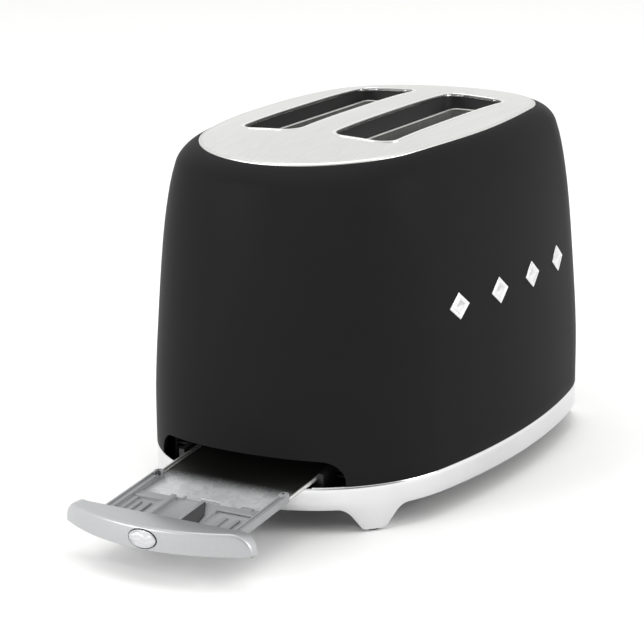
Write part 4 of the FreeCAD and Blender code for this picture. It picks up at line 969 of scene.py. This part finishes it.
for side in (-1, 1):
    low_y, high_y = sorted((3.0 * side, 4.0 * side))
    block(shape, (143.2, low_y, LEVER_Z - 44.0), (144.6, high_y, LEVER_Z + 44.0), 0.3)
make_piece("lever_slot_seal", shape, black_resin, "dark_polymer", "housing")

# the cord's outlet: a ribbed rubber gland in the back of the band
shape = bmesh.new()
turned(shape, [(0.0, 3.2), (0.0, 4.5), (2.0, 4.5), (2.3, 4.1), (3.0, 4.1), (3.3, 4.5), (5.0, 4.5),
               (5.3, 4.1), (6.0, 4.1), (6.3, 4.5), (11.4, 4.5), (11.5, 4.75), (12.4, 4.75),
               (12.9, 4.3), (13.0, 3.4), (12.6, 3.2), (0.0, 3.2)], (140.0, 0.0, 21.0), steps=40)
make_piece("cord_gland_boot", shape, dark_rubber, "foot_rubber", "housing", "cord_gland", crease=30.0)


# ------------------------------------------------------------------ underside
# A black moulded floor with vent slots closes the band, held by four zinc plated screws, and
# soft rubber pads stand under the feet.
refinish(["base_plate"], black_resin)
zinc, tree, shader, place = new_finish("zinc_plated_screw_steel", "#a8a9ab", 1.0, 0.35)
plating = add_node(tree, "ShaderNodeTexNoise", {"Vector": place, "Scale": 700.0, "Detail": 4.0})
tint = add_node(tree, "ShaderNodeMix", {0: plating.outputs["Fac"], 6: linear("#8f9092"),
                                        7: linear("#c4c3b4")}, data_type="RGBA")
tree.links.new(tint.outputs[2], shader.inputs["Base Color"])
matt = add_node(tree, "ShaderNodeMapRange", {"Value": plating.outputs["Fac"], "To Min": 0.25,
                                             "To Max": 0.5})
tree.links.new(matt.outputs["Result"], shader.inputs["Roughness"])
SCREWS = [(-60.0, -72.0), (60.0, -72.0), (-60.0, 72.0), (60.0, 72.0)]
shape = bmesh.new()
for x, y in SCREWS:
    rings = []
    for radius, height in ((3.2, 13.3), (3.2, 12.9), (2.7, 12.0), (1.6, 11.7), (1.4, 11.7), (1.0, 12.5)):
        rings.append([(x + radius * math.cos(math.tau * s / 24), y + radius * math.sin(math.tau * s / 24),
                       height) for s in range(24)])
    loft(shape, rings)
cap(shape)
make_piece("base_screw_heads", shape, zinc, "screw_steel", "housing", "base_screws", crease=30.0)
for name, x_side, y_side in (("front_left", -1, -1), ("front_right", 1, -1), ("rear_left", -1, 1),
                             ("rear_right", 1, 1)):
    shape = bmesh.new()
    x, y = 116.0 * x_side, 62.9 * y_side
    rings = []
    for radius, height in ((4.2, 1.35), (4.4, 1.1), (4.4, 0.35), (4.2, 0.1), (3.8, 0.0), (2.2, 0.0),
                           (1.9, 0.3)):
        rings.append([(x + radius * math.cos(math.tau * s / 32), y + radius * math.sin(math.tau * s / 32),
                       height) for s in range(32)])
    loft(shape, rings)
    cap(shape)
    make_piece("rubber_pad_" + name, shape, dark_rubber, "foot_rubber", "housing", "foot_pad_" + name,
               crease=30.0)


# ------------------------------------------------------------------ toasting chassis
# Two sheet steel end plates carry the reflectors and the shield between the slots. Mica
# boards wound with flat heating ribbon face the bread through the wire cages.
refinish(["chassis_plate_tray_end", "chassis_plate_control_end", "reflector_front", "reflector_rear",
          "centre_shield", "bread_rack_front", "bread_rack_rear", "carriage_bracket", "lever_arm",
          "armature_plate"], sheet_steel)
SIDES = ["front_outer", "front_inner", "rear_inner", "rear_outer"]
mica, tree, shader, place = new_finish("pressed_mica_board", "#a8987d", 0.0, 0.5)
flakes = add_node(tree, "ShaderNodeTexVoronoi", {"Vector": place, "Scale": 350.0})
fleck = add_node(tree, "ShaderNodeRGBToBW", {"Color": flakes.outputs["Color"]})
tint = add_node(tree, "ShaderNodeMix", {0: fleck.outputs["Val"], 6: linear("#8f8068"),
                                        7: linear("#c2b69c")}, data_type="RGBA")
tree.links.new(tint.outputs[2], shader.inputs["Base Color"])
matt = add_node(tree, "ShaderNodeMapRange", {"Value": fleck.outputs["Val"], "To Min": 0.3,
                                             "To Max": 0.6})
tree.links.new(matt.outputs["Result"], shader.inputs["Roughness"])
refinish(["heater_board_" + side for side in SIDES], mica)

ribbon, tree, shader, place = new_finish("oxidised_heating_ribbon", "#7b6f64", 1.0, 0.5)
heat = add_node(tree, "ShaderNodeTexNoise", {"Vector": place, "Scale": 90.0, "Detail": 4.0})
tint = add_node(tree, "ShaderNodeMix", {0: heat.outputs["Fac"], 6: linear("#5a4f48"),
                                        7: linear("#978779")}, data_type="RGBA")
tree.links.new(tint.outputs[2], shader.inputs["Base Color"])
matt = add_node(tree, "ShaderNodeMapRange", {"Value": heat.outputs["Fac"], "To Min": 0.4,
                                             "To Max": 0.65})
tree.links.new(matt.outputs["Result"], shader.inputs["Roughness"])
refinish(["heater_ribbon_" + side for side in SIDES], ribbon)

wire, tree, shader, place = new_finish("drawn_nickel_plated_wire", "#b4b3ae", 1.0, 0.28)
drawn = add_node(tree, "ShaderNodeTexNoise", {"Vector": place, "Scale": 500.0, "Detail": 3.0})
matt = add_node(tree, "ShaderNodeMapRange", {"Value": drawn.outputs["Fac"], "To Min": 0.2,
                                             "To Max": 0.4})
tree.links.new(matt.outputs["Result"], shader.inputs["Roughness"])
tint = add_node(tree, "ShaderNodeMix", {0: drawn.outputs["Fac"], 6: linear("#a09f9a"),
                                        7: linear("#c6c5c0")}, data_type="RGBA")
tree.links.new(tint.outputs[2], shader.inputs["Base Color"])
refinish(["guide_rod"], wire)

# Each cage is bent from one gauge of wire: uprights that bow in a little to meet the bread,
# welded between a pivot rail below and a top rail.
CAGE_LOW = 57.0
CAGE_HIGH = 158.0
CAGE_SPOTS = {"front_outer": (-43.8, 1), "front_inner": (-13.2, -1), "rear_inner": (13.2, 1),
              "rear_outer": (43.8, -1)}


def wire_run(shape, points, radius, steps=10):
    """A round wire along a run of points that lies mostly along X or Z."""
    rings = []
    upright = abs(points[-1][2] - points[0][2]) > abs(points[-1][0] - points[0][0])
    for x, y, z in points:
        ring = []
        for step in range(steps):
            u, v = radius * math.cos(math.tau * step / steps), radius * math.sin(math.tau * step / steps)
            ring.append((x + u, y + v, z) if upright else (x, y + u, z + v))
        rings.append(ring)
    loft(shape, rings)


for side, (y, inward) in CAGE_SPOTS.items():
    shape = bmesh.new()
    wire_run(shape, [(-79.4, y, CAGE_LOW), (86.4, y, CAGE_LOW)], 1.2, 14)
    wire_run(shape, [(-73.0, y, CAGE_HIGH), (80.0, y, CAGE_HIGH)], 0.8)
    for index in range(9):
        x = -73.0 + 153.0 * (index + 0.5) / 9
        bow = [(x, y + inward * 0.7 * math.sin(math.pi * step / 12),
                CAGE_LOW + (CAGE_HIGH - CAGE_LOW) * step / 12) for step in range(13)]
        wire_run(shape, bow, 0.8)
    cap(shape)
    make_piece("bread_cage_" + side, shape, wire, "steel_wire", "cage_" + side, "guide_cage_" + side)

# the lever's return spring, close wound in drawn wire
SPRING_TURNS = 13
shape = bmesh.new()
section = bmesh.ops.create_circle(shape, segments=8, radius=0.5,
                                  matrix=Matrix.Translation((98.9, 14.0, 130.6)) @ Matrix.Rotation(
                                      math.pi / 2, 4, "X"))["verts"]
section_edges = shape.edges[:]
bmesh.ops.spin(shape, geom=section + section_edges, cent=(96.0, 14.0, 130.6), axis=(0.0, 0.0, 1.0),
               dvec=(0.0, 0.0, 44.6 / (SPRING_TURNS * 16)), angle=math.tau * SPRING_TURNS,
               steps=SPRING_TURNS * 16, use_merge=False)
cap(shape)
make_piece("return_spring_coil", shape, wire, "steel_wire", "housing", "return_spring")


# ------------------------------------------------------------------ electrics
# Under the lever sit the timer board behind the buttons, the power board with its relay and
# capacitor, the terminal block, and the latch magnet that holds the lever down.
board, tree, shader, place = new_finish("green_lacquered_circuit_board", "#1d5a33", 0.0, 0.35)
# copper tracks under the lacquer, 1.2 mm wide
tracks = add_node(tree, "ShaderNodeTexBrick", {"Vector": place, "Scale": 180.0, "Mortar Size": 0.12,
                                               "Color1": linear("#1a5230"),
                                               "Color2": linear("#1f5e37"),
                                               "Mortar": linear("#4f8a4e")})
tree.links.new(tracks.outputs["Color"], shader.inputs["Base Color"])
raised = add_node(tree, "ShaderNodeBump", {"Height": tracks.outputs["Fac"], "Strength": 0.3,
                                           "Distance": 0.0001})
tree.links.new(raised.outputs["Normal"], shader.inputs["Normal"])
refinish(["control_board", "main_board"], board)
refinish(["board_components", "timer_dial_body"], black_resin)

pale_resin, tree, shader, place = new_finish("pale_moulded_polyamide", "#d6d3c6", 0.0, 0.5)
mottle = add_node(tree, "ShaderNodeTexNoise", {"Vector": place, "Scale": 300.0, "Detail": 4.0})
tint = add_node(tree, "ShaderNodeMix", {0: mottle.outputs["Fac"], 6: linear("#cbc8ba"),
                                        7: linear("#e0ddd1")}, data_type="RGBA")
tree.links.new(tint.outputs[2], shader.inputs["Base Color"])
refinish(["terminal_block"], pale_resin)

magnet, tree, shader, place = new_finish("laminated_iron_and_copper_winding", "#6d4a36", 0.9, 0.4)
level = add_node(tree, "ShaderNodeSeparateXYZ", {"Vector": place})
above = add_node(tree, "ShaderNodeMath", {0: level.outputs["Z"], 1: 0.0204}, operation="GREATER_THAN")
below = add_node(tree, "ShaderNodeMath", {0: level.outputs["Z"], 1: 0.0402}, operation="LESS_THAN")
wound = add_node(tree, "ShaderNodeMath", {0: above.outputs["Value"], 1: below.outputs["Value"]},
                 operation="MULTIPLY")
# turns of enamelled wire, 0.8 mm apart
turns = add_node(tree, "ShaderNodeTexWave", {"Vector": place, "Scale": 200.0, "Distortion": 0.3},
                 bands_direction="Z")
copper = add_node(tree, "ShaderNodeMix", {0: turns.outputs["Fac"], 6: linear("#6a3218"),
                                          7: linear("#c0713c")}, data_type="RGBA")
iron = add_node(tree, "ShaderNodeMix", {0: turns.outputs["Fac"], 6: linear("#3a3836"),
                                        7: linear("#5b5855")}, data_type="RGBA")
tint = add_node(tree, "ShaderNodeMix", {0: wound.outputs["Value"], 6: iron.outputs[2],
                                        7: copper.outputs[2]}, data_type="RGBA")
tree.links.new(tint.outputs[2], shader.inputs["Base Color"])
refinish(["electromagnet"], magnet)
